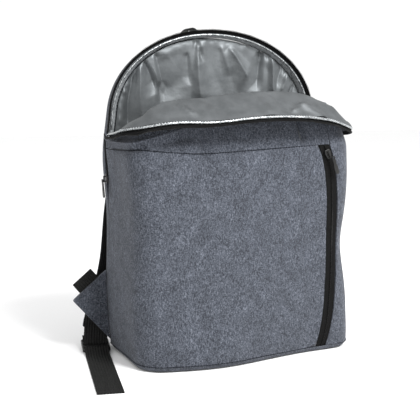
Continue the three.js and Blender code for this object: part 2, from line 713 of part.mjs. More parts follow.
// The lip's tape carries on beyond the felt's edge
const lipAlongs = lipLines.map((line) => (typeof line === 'number' ? line : line(2)));
function lipEdgeFrame(along) {
  const edge = surfacePoint(along, 2);
  const before = surfacePoint(along, 1.97);
  return { edge, out: edge.clone().sub(before).normalize(), normal: surfaceNormal(along, 2) };
}
function mouthTapeFront() {
  const place = (along, v, lift) => {
    const f = lipEdgeFrame(along);
    return f.edge.addScaledVector(f.out, 2 * clearance + v * mouthTapeWidth).addScaledVector(f.normal, lift);
  };
  return wall(lipAlongs, [0, 1],
    (a, v) => place(a, v, tapeThick + feltInner), (a, v) => place(a, v, feltInner));
}
function lipWelt() {
  const points = lipAlongs.map((along) => {
    const f = lipEdgeFrame(along);
    return f.edge.addScaledVector(f.out, 3 * clearance + weltRadius)
      .addScaledVector(f.normal, feltInner - 3 * clearance - weltRadius);
  });
  return bead(points, weltRadius, 5);
}
function domeWelt() {
  const from = archStraight * (seamHeight + 22) / archSpring;
  const inner = archSteps.filter((s) => s > from + 0.01 && s < 1 - from - 0.01);
  const points = [from, ...inner, 1 - from].map((s) => {
    const p = archPoint(s, stripInset + weltRadius + clearance);
    return point(p.x, zipPlane - weltRadius - clearance, p.z);
  });
  return bead(points, weltRadius, 5);
}

// The pocket tape fills the slot between the pocket panel and the side panel, with the coil's ridge
function pocketTape() {
  const place = (u, share, lift) => {
    const z = heightAt(share);
    const x = pocketZipX(z) + lerp(-1, 1, u) * (zipTapeWidth / 2);
    return offsetPoint(alongAt(x, z), share, lift);
  };
  const ridge = (u) => (Math.abs(u - 0.5) < 0.01 ? coilRise : 0);
  return wall([0, 0.38, 0.5, 0.62, 1], wallShares,
    (u, share) => place(u, share, feltInner + tapeThick + ridge(u)),
    (u, share) => place(u, share, feltInner));
}

// Sliders and pullers, modelled lying on their backs and then turned into place

function sliderGeometry() {
  const outline = new THREE.Shape();
  const [w, l] = [sliderWidth / 2, sliderLength / 2];
  outline.moveTo(-w * 0.55, -l);
  outline.lineTo(w * 0.55, -l);
  outline.lineTo(w, l * 0.25);
  outline.lineTo(w * 0.75, l);
  outline.lineTo(-w * 0.75, l);
  outline.lineTo(-w, l * 0.25);
  const plate = new THREE.ExtrudeGeometry(outline, {
    depth: 1.6, bevelEnabled: true, bevelThickness: 0.4, bevelSize: 0.4, bevelSegments: 1, steps: 1 });
  const bridge = fuse(block(1.8, 1.6, 3.6, 0, -l * 0.55, 3), block(1.8, 1.6, 3.6, 0, l * 0.55, 3),
    block(1.8, l * 1.1 + 1.6, 1.3, 0, 0, 4.4));
  return fuse(plate, bridge);
}

function pullerGeometry(length) {
  const shape = new THREE.Shape();
  const w = pullerWidth / 2;
  shape.moveTo(-w * 0.75, 0);
  shape.lineTo(w * 0.75, 0);
  shape.lineTo(w * 0.7, -length * 0.45);
  shape.lineTo(w, -length * 0.6);
  shape.lineTo(w, -length + 2);
  shape.lineTo(w * 0.6, -length);
  shape.lineTo(-w * 0.6, -length);
  shape.lineTo(-w, -length + 2);
  shape.lineTo(-w, -length * 0.6);
  shape.lineTo(-w * 0.7, -length * 0.45);
  const eye = steps(0, 2 * Math.PI, 8).slice(1).map((turn) => new THREE.Vector2(
    1.25 * Math.cos(turn), 1.25 * Math.sin(turn) - 2.4));
  shape.holes.push(new THREE.Path(eye));
  return new THREE.ExtrudeGeometry(shape, { depth: pullerThick, bevelEnabled: false });
}

// Materials

const material = (color, roughness, metalness) => new THREE.MeshStandardMaterial({
  color, roughness, metalness, side: THREE.DoubleSide });
const felt = material(0x5f646e, 0.95, 0);
const silver = material(0xa6abb0, 0.35, 0.5);
const black = material(0x17171a, 0.8, 0);
const webbingBlack = material(0x222220, 0.85, 0);
const plastic = material(0x1b1b1d, 0.5, 0);
const metal = material(0x6f6f72, 0.35, 0.9);
const meshBlack = material(0x101013, 0.95, 0);

const bag = new THREE.Group();
function add(name, geometry, look, parent = bag) {
  const mesh = new THREE.Mesh(geometry, look);
  mesh.name = name;
  parent.add(mesh);
  return mesh;
}

// Felt shell
add('pocket_panel', pocketPanel(), felt);
add('collar_panel', collarPanel(), felt);
add('side_panel_right', sidePanelRight(), felt);
add('bottom_panel', bottomPanel(), felt);
add('back_panel', backPanel(), felt);
add('back_gusset', backGusset(), felt);

// Silver lining
add('lining_wall', liningWallPanel(), silver);
add('lining_lip', liningLipPanel(), silver);
add('lining_back', liningBack(), silver);
add('lining_strip', liningStrip(), silver);
add('lining_floor', liningFloor(), silver);

// Mouth and pocket zips
add('mouth_tape_back', mouthTapeBack(), black);
add('mouth_tape_front', mouthTapeFront(), black);
add('welt_back', domeWelt(), silver);
add('welt_front', lipWelt(), silver);
add('pocket_tape', pocketTape(), black);
add('mouth_tape_left', mouthTapeSide(-1), black);
add('mouth_tape_right', mouthTapeSide(1), black);

// A piece lying on the wall: its own +Z turns to the wall's outward normal and its +Y up the wall
function layOnWall(mesh, along, share, lift, spin) {
  const normal = surfaceNormal(along, share);
  const above = surfacePoint(along, Math.min(share + 0.02, 2));
  const up = above.sub(surfacePoint(along, share - 0.02)).normalize();
  const side = new THREE.Vector3().crossVectors(up, normal).normalize();
  const basis = new THREE.Matrix4().makeBasis(side, new THREE.Vector3().crossVectors(normal, side), normal);
  mesh.quaternion.setFromRotationMatrix(basis);
  mesh.rotateZ(radians(spin));
  mesh.position.copy(offsetPoint(along, share, lift));
}

const pocketSliderShare = 0.955;
const sliderLift = feltInner + tapeThick + coilRise + clearance + 0.4;
const pocketAlong = alongAt(pocketZipX(heightAt(pocketSliderShare)), heightAt(pocketSliderShare));
layOnWall(add('pocket_slider', sliderGeometry(), plastic), pocketAlong, pocketSliderShare, sliderLift, 20);
layOnWall(add('pocket_puller', pullerGeometry(pullerLength), plastic),
  pocketAlong + 0.015, pocketSliderShare - 0.01, sliderLift + 5.6, 16);

const mouthSliderShare = 0.85;
const mouthSliderAlong = 0.5 * sideZipSlot / sideLength(seamHeight);
layOnWall(add('mouth_slider', sliderGeometry(), metal),
  mouthSliderAlong, mouthSliderShare, feltOuter + clearance + 0.4, 0);
layOnWall(add('mouth_puller', pullerGeometry(pullerLength), metal),
  mouthSliderAlong, mouthSliderShare, feltOuter + 6.4, 0);

// Haul loop: webbing on edge, arching above the back panel
function haulLoop() {
  const foot = archSpring + archRise + haulProud - haulRise;
  const rows = steps(0, Math.PI, 8).map((turn) => ({
    x: haulCentre - (haulSpan / 2) * Math.cos(turn),
    y: backDepth + backBulge * 0.3 + haulWidth / 2 + clearance,
    z: foot + haulRise * Math.sin(turn) ** haulPeak,
    ax: 0,
    ay: 1,
    az: 0,
    width: haulWidth,
  }));
  return strip(rows, 16, webbingThick);
}
add('haul_loop', haulLoop(), webbingBlack);

// Shoulder strap: the felt face behind and the black backing in front of it, side by side.
// High is a share of the arch's top, off a share of halfWidth, back a share of strapReach.
const strapRows = [
  { high: 0.905, off: 0.31, back: 0.162, width: 0.95 },
  { high: 0.84, off: 0.42, back: 0.324, width: 1.00 },
  { high: 0.70, off: 0.57, back: 0.730, width: 1.00 },
  { high: 0.46, off: 0.72, back: 0.973, width: 1.00 },
  { high: 0.23, off: 0.80, back: 1.000, width: 0.98 },
];
const archTop = archSpring + archRise;
const strapFoot = 0.12;

// Each ladder lock lies on the ground by its back corner: out and strapOut are shares of halfWidth, behind
// and strapBehind are shares of strapReach behind the panel, heading is the way the tail leaves, in degrees
// from straight forward, and bow and back, shares of strapReach, carry the webbing's slack in and back.
const locks = {
  left: {
    side: -1, out: 1.14, behind: -0.216, heading: 11, bow: 0.65, back: 0.54,
    strapOut: 0.95, strapBehind: 0.92,
  },
  right: {
    side: 1, out: 0.98, behind: 1.108, heading: 176, bow: -0.38, back: 0.08,
    strapOut: 0.79, strapBehind: 0.595,
  },
};
const lockTilt = radians(9);
const lockFoot = 3 * lockBar + 3 * lockSlot;
function lockFrame({ side, out, behind, heading }) {
  const turn = radians(heading);
  const flat = point(side * Math.sin(turn), -Math.cos(turn), 0);
  const along = flat.clone().multiplyScalar(Math.cos(lockTilt)).add(point(0, 0, -Math.sin(lockTilt)));
  const across = point(-flat.y, flat.x, 0);
  const normal = new THREE.Vector3().crossVectors(across, along).normalize();
  if (normal.z < 0) {
    normal.negate();
    across.negate();
  }
  const height = lockFoot / 2 * Math.sin(lockTilt) + lockThick;
  const centre = point(side * halfWidth * out, backDepth + strapReach * behind, height);
  const at = (l, n) => centre.clone().addScaledVector(along, l).addScaledVector(normal, n);
  return { centre, along, across, normal, flat, at };
}

// Bars of the lock from its strap end to its tail end, with a slot between each pair
const barMiddle = (k) => (k - 1.5) * (lockBar + lockSlot);
const slotMiddle = (k) => barMiddle(k) + (lockBar + lockSlot) / 2;
function lockGeometry(frame) {
  const [w, l] = [lockWidth / 2, barMiddle(3) + lockBar / 2];
  const outline = new THREE.Shape([[-w, -l + 2], [-w + 2, -l], [w - 2, -l], [w, -l + 2], [w, l - 2],
    [w - 2, l], [-w + 2, l], [-w, l - 2]].map(([x, y]) => new THREE.Vector2(x, y)));
  const half = webbingWidth / 2 + 2 * clearance;
  for (const k of [0, 1, 2]) {
    const [low, high] = [slotMiddle(k) - lockSlot / 2, slotMiddle(k) + lockSlot / 2];
    outline.holes.push(new THREE.Path([[-half, low], [-half, high], [half, high], [half, low]]
      .map(([x, y]) => new THREE.Vector2(x, y))));
  }
  const plate = new THREE.ExtrudeGeometry(outline, { depth: lockThick, bevelEnabled: false });
  plate.translate(0, 0, -lockThick / 2);
  const basis = new THREE.Matrix4().makeBasis(
    new THREE.Vector3().crossVectors(frame.along, frame.normal), frame.along, frame.normal);
  return plate.applyMatrix4(basis).translate(frame.centre.x, frame.centre.y, frame.centre.z);
}

const over = lockThick / 2 + clearance + webbingThick / 2 + 0.3;
const stripRow = (at, across, width) => ({
  x: at.x, y: at.y, z: at.z, ax: across.x, ay: across.y, az: across.z, width });

function strapPath(lock, frame) {
  const { side } = lock;
  const rows = strapRows.map((row) => stripRow(
    point(side * halfWidth * row.off, backDepth + strapReach * row.back, archTop * row.high),
    point(1, 0, side * 0.12), strapWidth * row.width));
  const end = frame.at(barMiddle(0) - lockBar / 2 - 13, 6);
  const low = point(side * halfWidth * lock.strapOut, backDepth + strapReach * lock.strapBehind,
    archTop * strapFoot);
  rows.push(stripRow(low, point(1, 0, 0), strapWidth * 0.76));
  rows.push(stripRow(end, point(1, 0, 0), webbingWidth * 1.05));
  return rows;
}

// A short loop of webbing from the strap's end round the lock's first bar
function lockLoop(frame) {
  const bar = barMiddle(0);
  const gap = lockBar / 2 + webbingThick / 2 + clearance + 0.4;
  const route = [[bar - gap - 5, over], [bar - lockBar / 2, over], [bar + gap - 0.6, over * 0.75],
    [bar + gap, 0], [bar + gap - 0.6, -over * 0.75], [bar - lockBar / 2, -over],
    [bar - gap - 5, -over * 0.6]];
  return strip(route.map(([l, n]) => stripRow(frame.at(l, n), frame.across, webbingWidth)), 16, webbingThick);
}

// Lower strap group: the felt wing in the back corner seam
const wingY = (zipPlane + backDepth) / 2 - wingThick / 2;
const wingCorner = { x: halfWidth * 1.035 + wingReach, z: lerp(wingLow, wingHigh, 0.6) };
const wingEdge = (v, side) => {
  const z = lerp(wingLow, wingHigh, v);
  return { x: Math.abs(archSideX(z, side)) + feltOuter + clearance, z };
};
function wingGeometry(side) {
  const outerEdge = (v) => ({ x: wingCorner.x - 2 * Math.abs(v - 0.5), z: wingCorner.z + (v - 0.5) * 4 });
  const place = (u, v, depth) => {
    const [a, b] = [wingEdge(v, side), outerEdge(v)];
    return point(side * lerp(a.x, b.x, u), wingY + depth - 2 * u * u, lerp(a.z, b.z, u));
  };
  return wall(steps(0, 1, 4), steps(0, 1, 4), (u, v) => place(u, v, 0), (u, v) => place(u, v, wingThick));
}

// The webbing leaves the wing's upper edge, folds over, runs down behind the wing, threads the lock and
// ends in its free tail on the ground
const slackOut = 13;
const webbingTurn = webbingThick;
function webbingPath({ side, bow, back }, frame) {
  const top = wingEdge(1, side);
  const edge = new THREE.Vector2(top.x - wingCorner.x, top.z - wingCorner.z).normalize();
  const middle = { x: (top.x + wingCorner.x) / 2, z: (top.z + wingCorner.z) / 2 };
  const off = (reach, y) => point(side * (middle.x + edge.y * reach), y, middle.z - edge.x * reach);
  const across = point(side * edge.x, 0, edge.y);
  const y = wingY + wingThick / 2;
  const rows = [[clearance + 0.8, y], [slackOut * 0.6, y + 0.5], [slackOut, y + 4], [slackOut * 0.85, y + 8],
    [0, y + 10]].map(([reach, at]) => stripRow(off(reach, at), across, webbingWidth));
  const entry = frame.at(slotMiddle(1) - lockSlot, 9);
  const fold = off(0, y + 10);
  for (const share of [0.35, 0.75]) {
    const at = fold.clone().lerp(entry, share);
    at.x -= side * strapReach * bow * Math.sin(Math.PI * share) ** 3;
    at.y += strapReach * back * Math.sin(Math.PI * share);
    rows.push(stripRow(at, across.clone().lerp(frame.across.clone().multiplyScalar(
      Math.sign(frame.across.dot(across))), share), webbingWidth));
  }
  const way = frame.across.clone().multiplyScalar(Math.sign(frame.across.dot(across)));
  const [downSlot, upSlot] = [slotMiddle(1), slotMiddle(2)];
  const thread = [[downSlot - webbingTurn, 2.4 * webbingTurn], [downSlot, 0], [downSlot + webbingTurn, -over],
    [barMiddle(2), -over], [upSlot - webbingTurn, -over], [upSlot, 0], [upSlot + webbingTurn, over],
    [barMiddle(3), over]];
  for (const [l, n] of thread) rows.push(stripRow(frame.at(l, n), way, webbingWidth));
  return { rows, way };
}
const groundGap = 0.3;
function webbingTail(frame, way) {
  const start = frame.at(barMiddle(3) + lockBar / 2 + 4, over * 0.4);
  const ground = webbingThick / 2 + groundGap;
  return [6, 14, tailLength * 0.4, tailLength * 0.7, tailLength].map((run) => {
    const at = start.clone().addScaledVector(frame.flat, run);
    at.z = run < 10 ? (start.z + ground) / 2 : ground;
    return stripRow(at, way, webbingWidth);
  });
}

for (const [label, lock] of Object.entries(locks)) {
  const frame = lockFrame(lock);
  const strap = strapPath(lock, frame);
  const shift = (strapWall + clearance) / 2;
  const { rows, way } = webbingPath(lock, frame);
  add(`strap_felt_${label}`, strip(strap, 20, strapWall, 2, -shift), felt);
  add(`strap_backing_${label}`, strip(strap, 20, strapWall, 2, shift), meshBlack);
  add(`wing_${label}`, wingGeometry(lock.side), felt);
  add(`ladder_lock_${label}`, lockGeometry(frame), plastic);
  add(`lock_loop_${label}`, lockLoop(frame), webbingBlack);
  add(`webbing_${label}`, strip([...rows, ...webbingTail(frame, way)], 46, webbingThick), webbingBlack);
}

export default bag;
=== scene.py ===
# %% [markdown]
# # A felt cooler backpack with its mouth open
#
# This lesson dresses a measured frame of the bag. The frame holds every panel, strap and fastening as a
# plain solid, in metres, with the bag's front towards -Y. Each soft piece is made again here with smooth
# curves, folds and its own cloth, and each hard piece gets rounded edges.

import json
import math

import bpy
import numpy as np
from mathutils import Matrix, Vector, noise
from mathutils.bvhtree import BVHTree

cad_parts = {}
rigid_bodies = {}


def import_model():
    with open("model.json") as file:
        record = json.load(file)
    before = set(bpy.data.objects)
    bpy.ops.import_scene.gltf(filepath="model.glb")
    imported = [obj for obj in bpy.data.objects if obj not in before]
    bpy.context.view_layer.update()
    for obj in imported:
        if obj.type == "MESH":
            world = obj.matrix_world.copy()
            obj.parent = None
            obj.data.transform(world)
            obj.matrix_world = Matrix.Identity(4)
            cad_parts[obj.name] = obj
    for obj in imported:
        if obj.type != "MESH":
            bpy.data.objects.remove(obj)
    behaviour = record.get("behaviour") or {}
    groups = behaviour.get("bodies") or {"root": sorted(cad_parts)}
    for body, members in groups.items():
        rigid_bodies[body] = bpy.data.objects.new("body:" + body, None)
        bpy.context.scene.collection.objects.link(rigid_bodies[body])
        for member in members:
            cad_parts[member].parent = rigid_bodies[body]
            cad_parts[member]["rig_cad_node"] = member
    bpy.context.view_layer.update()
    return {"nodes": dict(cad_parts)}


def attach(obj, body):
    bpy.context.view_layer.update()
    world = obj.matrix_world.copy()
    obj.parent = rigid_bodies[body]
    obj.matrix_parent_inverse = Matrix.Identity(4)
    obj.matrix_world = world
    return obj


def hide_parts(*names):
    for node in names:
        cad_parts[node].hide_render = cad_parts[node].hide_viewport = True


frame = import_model()
print("frame loaded with", len(frame["nodes"]), "nodes")

# %% [markdown]
# ## The camera
# The camera stands a little to the left of the bag and above it, as in the photograph. It is made first,
# so that every later check knows what it sees.

# %% Camera
CAMERA_AT = (-0.47264, -1.03708, 0.32185)
CAMERA_AIM = (-0.02441, 0.0, 0.17903)
CAMERA_LENS = 78.09
SENSOR = 36.0

bpy.ops.object.camera_add(location=CAMERA_AT)
camera = bpy.context.object
camera.name = "photo_camera"
camera.data.lens = CAMERA_LENS
camera.data.sensor_width = SENSOR
camera.rotation_euler = (Vector(CAMERA_AIM) - Vector(CAMERA_AT)).to_track_quat("-Z", "Y").to_euler()
bpy.context.scene.camera = camera
print("camera at", CAMERA_AT)

# %% [markdown]
# ## Small helpers
# An operator works on what is selected, so each helper first selects one object and nothing else.

# %% Selecting, copying and applying
MERGE = 1e-5


def only(obj):
    """Selects one object and makes it the active one."""
    bpy.ops.object.select_all(action="DESELECT")
    obj.select_set(True)
    bpy.context.view_layer.objects.active = obj


def apply_modifier(obj, kind, **settings):
    """Adds a modifier, sets it and applies it."""
    only(obj)
    modifier = obj.modifiers.new(kind.lower(), kind)
    for name, value in settings.items():
        setattr(modifier, name, value)
    bpy.ops.object.modifier_apply(modifier=modifier.name)


def merged_copy(node, name):
    """A copy of one solid of the frame, with its loose triangles merged into quads."""
    solid = frame["nodes"][node]
    hidden = solid.hide_viewport
    solid.hide_viewport = False
    only(solid)
    bpy.ops.object.duplicate()
    piece = bpy.context.object
    solid.hide_viewport = hidden
    piece.hide_render = False
    piece.name = name
    piece.data.name = name
    del piece["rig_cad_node"]
    bpy.ops.object.mode_set(mode="EDIT")
    bpy.ops.mesh.select_all(action="SELECT")
    bpy.ops.mesh.remove_doubles(threshold=MERGE)
    bpy.ops.mesh.tris_convert_to_quads(face_threshold=math.pi, shape_threshold=math.pi)
    bpy.ops.object.mode_set(mode="OBJECT")
    return piece


def rounded(node, name, levels=2, sharp=55):
    """A solid of the frame made smooth by subdivision, with its rim kept crisp."""
    piece = merged_copy(node, name)
    bpy.ops.object.mode_set(mode="EDIT")
    bpy.ops.mesh.select_mode(type="EDGE")
    bpy.ops.mesh.select_all(action="DESELECT")
    bpy.ops.mesh.edges_select_sharp(sharpness=math.radians(sharp))
    bpy.ops.transform.edge_crease(value=1)
    bpy.ops.object.mode_set(mode="OBJECT")
    apply_modifier(piece, "SUBSURF", levels=levels, render_levels=levels)
    return piece


def moved(piece, shift):
    """Moves every point of a piece by shift(point), a vector in metres."""
    mesh = piece.data
    shifts = [shift(v.co.copy()) for v in mesh.vertices]
    for vertex, by in zip(mesh.vertices, shifts):
        vertex.co += by
    mesh.update()


def finished(piece, material, slot, *nodes, angle=40):
    """Shades a piece, gives it its material and ties it to the frame."""
    only(piece)
    bpy.ops.object.shade_smooth_by_angle(angle=math.radians(angle))
    piece.data.materials.clear()
    piece.data.materials.append(material)
    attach(piece, "root")
    if nodes:
        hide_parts(*nodes)
    return piece


# %% [markdown]
# ## Materials
# Every material is built from nodes on Object coordinates, so the grain has a real size in metres.

# %% Material helpers
def new_material(name, roughness, metallic=0.0, sheen=0.0):
    """A material with its Principled shader, ready for nodes."""
    material = bpy.data.materials.new(name)
    material.use_nodes = True
    shader = material.node_tree.nodes["Principled BSDF"]
    shader.inputs["Roughness"].default_value = roughness
    shader.inputs["Metallic"].default_value = metallic
    shader.inputs["Sheen Weight"].default_value = sheen
    return material, material.node_tree, shader


def noise_of(tree, scale, detail=2.0, stretch=(1, 1, 1), rough=0.5, turn=0.0):
    """Noise on the object's own coordinates; scale counts blobs in a metre."""
    place = tree.nodes.new("ShaderNodeTexCoord")
    mapping = tree.nodes.new("ShaderNodeMapping")
    mapping.inputs["Scale"].default_value = stretch
    mapping.inputs["Rotation"].default_value = (0, turn, 0)
    texture = tree.nodes.new("ShaderNodeTexNoise")
    texture.inputs["Scale"].default_value = scale
    texture.inputs["Detail"].default_value = detail
    texture.inputs["Roughness"].default_value = rough
    tree.links.new(place.outputs["Object"], mapping.inputs["Vector"])
    tree.links.new(mapping.outputs["Vector"], texture.inputs["Vector"])
    return texture.outputs["Fac"]


def ramp_of(tree, value, stops):
    """Turns a value into colours; stops are (place, colour)."""
    ramp = tree.nodes.new("ShaderNodeValToRGB")
    elements = ramp.color_ramp.elements
    while len(elements) < len(stops):
        elements.new(0.5)
    for element, (place, color) in zip(elements, stops):
        element.position = place
        element.color = (*color, 1)
    tree.links.new(value, ramp.inputs["Fac"])
    return ramp.outputs["Color"]


def blend_of(tree, kind, factor, first, second):
    """Mixes two colours by a fixed factor."""
    mix = tree.nodes.new("ShaderNodeMix")
    mix.data_type = "RGBA"
    mix.blend_type = kind
    mix.inputs[0].default_value = factor
    tree.links.new(first, mix.inputs[6])
    tree.links.new(second, mix.inputs[7])
    return mix.outputs[2]


def bump_of(tree, shader, height, strength, distance, below=None):
    """Gives the shader a bump from a height; below is a bump it is laid on."""
    bump = tree.nodes.new("ShaderNodeBump")
    bump.inputs["Strength"].default_value = strength
    bump.inputs["Distance"].default_value = distance
    tree.links.new(height, bump.inputs["Height"])
    if below:
        tree.links.new(below, bump.inputs["Normal"])
    tree.links.new(bump.outputs["Normal"], shader.inputs["Normal"])
    return bump.outputs["Normal"]


def wave_of(tree, count):
    """A row of count ribs across the width of a ribbon's own UV."""
    place = tree.nodes.new("ShaderNodeTexCoord")
    split = tree.nodes.new("ShaderNodeSeparateXYZ")
    tree.links.new(place.outputs["UV"], split.inputs[0])
    turn = tree.nodes.new("ShaderNodeMath")
    turn.operation = "MULTIPLY"
    turn.inputs[1].default_value = count * 2 * math.pi
    tree.links.new(split.outputs["Y"], turn.inputs[0])
    wave = tree.nodes.new("ShaderNodeMath")
    wave.operation = "SINE"
    tree.links.new(turn.outputs[0], wave.inputs[0])
    return wave.outputs[0]


# %% [markdown]
# ### Felt
# Felt is a mat of dark and pale fibres. Its colour is made of fine specks with fibres laid over them in
# two directions, and of broader clouds, because one noise alone looks like stone. Its surface is dull,
# with a little sheen where it turns away.

# %% Felt
FELT_DARK = (0.008, 0.009, 0.012)
FELT_MIDDLE = (0.040, 0.045, 0.057)
FELT_PALE = (0.150, 0.163, 0.193)
FIBRE_TURNS = (0.9, -0.7)

felt, tree, shader = new_material("felt", 0.95, sheen=0.08)
shader.inputs["Sheen Roughness"].default_value = 0.6
shader.inputs["Specular IOR Level"].default_value = 0.08
specks = ramp_of(tree, noise_of(tree, 680, 3.0, rough=0.75),
                 [(0.35, FELT_DARK), (0.50, FELT_MIDDLE), (0.65, FELT_PALE)])
for turn in FIBRE_TURNS:
    fibres = noise_of(tree, 640, 3.0, (1, 1, 0.4), 0.7, turn)
    fibres = ramp_of(tree, fibres, [(0.36, FELT_DARK), (0.50, FELT_MIDDLE), (0.64, FELT_PALE)])
    specks = blend_of(tree, "MIX", 0.28, specks, fibres)
clouds = ramp_of(tree, noise_of(tree, 55, 4.0, rough=0.65),
                 [(0.32, (0.80, 0.80, 0.80)), (0.50, (1.0, 1.0, 1.0)), (0.68, (1.22, 1.22, 1.22))])
tree.links.new(blend_of(tree, "MULTIPLY", 1.0, specks, clouds), shader.inputs["Base Color"])
soft = bump_of(tree, shader, noise_of(tree, 240, 4.0), 0.5, 0.0012)
bump_of(tree, shader, noise_of(tree, 1300, 4.0), 0.55, 0.0006, soft)

# %% [markdown]
# ### Foil lining
# The lining is a soft silver foil on cloth. Fine crinkles break its gloss up, and a slight change of
# roughness keeps the broad folds from looking like sheet metal. Low in the bag its colour is darkened
# between two heights, a painted shade for the little light that reaches there. The lip's foil is a
# darker copy of the same foil, painted shade. The strip is a paler copy, painted light on its shaded
# slope, and the piping is paler too, a painted highlight along the welts.

# %% Foil
FOIL_DARK = (0.125, 0.135, 0.141)
FOIL_PALE = (0.165, 0.177, 0.184)
# Painted shade: the lip's foil colours are a darker copy of the lining's.
LIP_SHADED_FOIL_DARK = (0.078, 0.084, 0.088)
LIP_SHADED_FOIL_PALE = (0.105, 0.112, 0.117)
# Painted shade: heights, in metres, between which the foil's colour is darkened.
PAINTED_SHADE_HEIGHTS = (0.270, 0.350)
LIP_PAINTED_SHADE_HEIGHTS = (0.200, 0.290)
PAINTED_SHADE_TONE = (0.52, 0.52, 0.52)
UNSHADED_TONE = (1.0, 1.0, 1.0)
FOIL_ROUGHNESS = (0.47, 0.60)


def height_of(tree, low, high):
    """A value that rises from 0 to 1 between two heights, in metres."""
    place = tree.nodes.new("ShaderNodeTexCoord")
    split = tree.nodes.new("ShaderNodeSeparateXYZ")
    tree.links.new(place.outputs["Object"], split.inputs[0])
    rise = tree.nodes.new("ShaderNodeMapRange")
    rise.inputs["From Min"].default_value = low
    rise.inputs["From Max"].default_value = high
    tree.links.new(split.outputs["Z"], rise.inputs["Value"])
    return rise.outputs["Result"]


def foil_cloth(name, dark, pale, shade_heights):
    """A dull silver foil with painted shade low in the bag, and broad and fine crinkles."""
    material, tree, shader = new_material(name, 0.5, metallic=0.66)
    tones = ramp_of(tree, noise_of(tree, 60, 3.0), [(0.35, dark), (0.65, pale)])
    # Painted shade: the colour is darkened between two heights low in the bag.
    painted_shade = ramp_of(tree, height_of(tree, *shade_heights), [(0.0, PAINTED_SHADE_TONE), (1.0, UNSHADED_TONE)])
    tree.links.new(blend_of(tree, "MULTIPLY", 1.0, tones, painted_shade), shader.inputs["Base Color"])
    spread = tree.nodes.new("ShaderNodeMapRange")
    spread.inputs["To Min"].default_value = FOIL_ROUGHNESS[0]
    spread.inputs["To Max"].default_value = FOIL_ROUGHNESS[1]
    tree.links.new(noise_of(tree, 120, 4.0), spread.inputs["Value"])
    tree.links.new(spread.outputs["Result"], shader.inputs["Roughness"])
    soft = bump_of(tree, shader, noise_of(tree, 70, 3.0), 0.25, 0.002)
    bump_of(tree, shader, noise_of(tree, 420, 4.0), 0.25, 0.0006, soft)
    return material


foil = foil_cloth("foil_lining", FOIL_DARK, FOIL_PALE, PAINTED_SHADE_HEIGHTS)
# Painted shade: the lip gets a darker copy of the lining's foil.
lip_foil_painted_shade = foil_cloth("foil_lip_painted_shade", LIP_SHADED_FOIL_DARK, LIP_SHADED_FOIL_PALE, LIP_PAINTED_SHADE_HEIGHTS)

# Painted light: the strip's foil is a paler copy of the lining's, brightening its shaded slope.
strip_foil_painted_light, tree, shader = new_material("foil_strip_painted_light", 0.45, metallic=0.5)
tree.links.new(
    ramp_of(tree, noise_of(tree, 260, 4.0), [(0.35, (0.24, 0.255, 0.265)), (0.65, (0.42, 0.44, 0.455))]),
    shader.inputs["Base Color"],
)
bump_of(tree, shader, noise_of(tree, 300, 4.0), 0.4, 0.0008)

# Painted highlight: the piping's pale foil stands for the bright highlight along the welts.
piping_painted_highlight, tree, shader = new_material("foil_piping_painted_highlight", 0.25, metallic=0.6)
tree.links.new(
    ramp_of(tree, noise_of(tree, 500, 3.0), [(0.40, (0.12, 0.13, 0.135)), (0.60, (0.48, 0.50, 0.51))]),
    shader.inputs["Base Color"],
)
bump_of(tree, shader, noise_of(tree, 700, 3.0), 0.5, 0.0006)

# %% [markdown]
# ### Black cloths, plastic and metal
# Tape, webbing and mesh are all black, and differ in weave and in how much light they give back.

# %% Webbing, tape and mesh
def woven(name, colour, pale, count, strength, roughness=0.8):
    """A black woven cloth with ribs along a ribbon's UV and flecks of paler thread."""
    material, tree, shader = new_material(name, roughness)
    shader.inputs["Specular IOR Level"].default_value = 0.12
    flecks = ramp_of(tree, noise_of(tree, 900, 3.0), [(0.40, colour), (0.72, pale)])
    tree.links.new(flecks, shader.inputs["Base Color"])
    ribs = wave_of(tree, count)
    soft = bump_of(tree, shader, ribs, strength, 0.0004)
    bump_of(tree, shader, noise_of(tree, 1400, 2.0), 0.35, 0.0004, soft)
    return material


def grained(name, colour, pale, roughness, scale, metallic=0.0, gloss=0.5):
    """A plain surface with a fine grain, for plastic, metal, tape and thread."""
    material, tree, shader = new_material(name, roughness, metallic)
    shader.inputs["Specular IOR Level"].default_value = gloss
    flecks = ramp_of(tree, noise_of(tree, scale, 3.0), [(0.38, colour), (0.70, pale)])
    tree.links.new(flecks, shader.inputs["Base Color"])
    bump_of(tree, shader, noise_of(tree, scale * 2, 2.0), 0.3, 0.0003)
    return material


webbing = woven("webbing", (0.006, 0.006, 0.006), (0.020, 0.020, 0.019), 9, 0.9)
strap_mesh = woven("strap_backing", (0.004, 0.004, 0.004), (0.012, 0.012, 0.013), 22, 0.7, 0.9)
zip_tape = grained("zip_tape", (0.003, 0.003, 0.003), (0.010, 0.010, 0.010), 0.85, 1100, gloss=0.08)
zip_teeth = grained("zip_teeth", (0.004, 0.004, 0.004), (0.012, 0.012, 0.012), 0.4, 900, gloss=0.35)
plastic = grained("black_plastic", (0.005, 0.005, 0.005), (0.010, 0.010, 0.010), 0.38, 700, gloss=0.35)
metal = grained("grey_metal", (0.010, 0.010, 0.011), (0.026, 0.026, 0.028), 0.42, 500, metallic=0.3)
# Partly painted shade: a real dark thread whose unbroken line also stands for the shade in the seams.
dark_thread_and_seam_shade = grained("dark_thread_and_seam_shade", (0.006, 0.007, 0.010), (0.016, 0.018, 0.024), 0.8, 1500, gloss=0.1)
pale_thread = grained("pale_thread", (0.42, 0.44, 0.46), (0.70, 0.72, 0.74), 0.4, 1500, metallic=0.3)
print("materials:", len(bpy.data.materials))

# %% [markdown]
# ## Ribbons
# Webbing and straps are ribbons. They could be smoothed as the panels are, but a solid of the frame has
# no UV for a weave to follow. So the solid gives a row of cross-sections, and a grid with its own UV is
# laid through them and given its thickness.

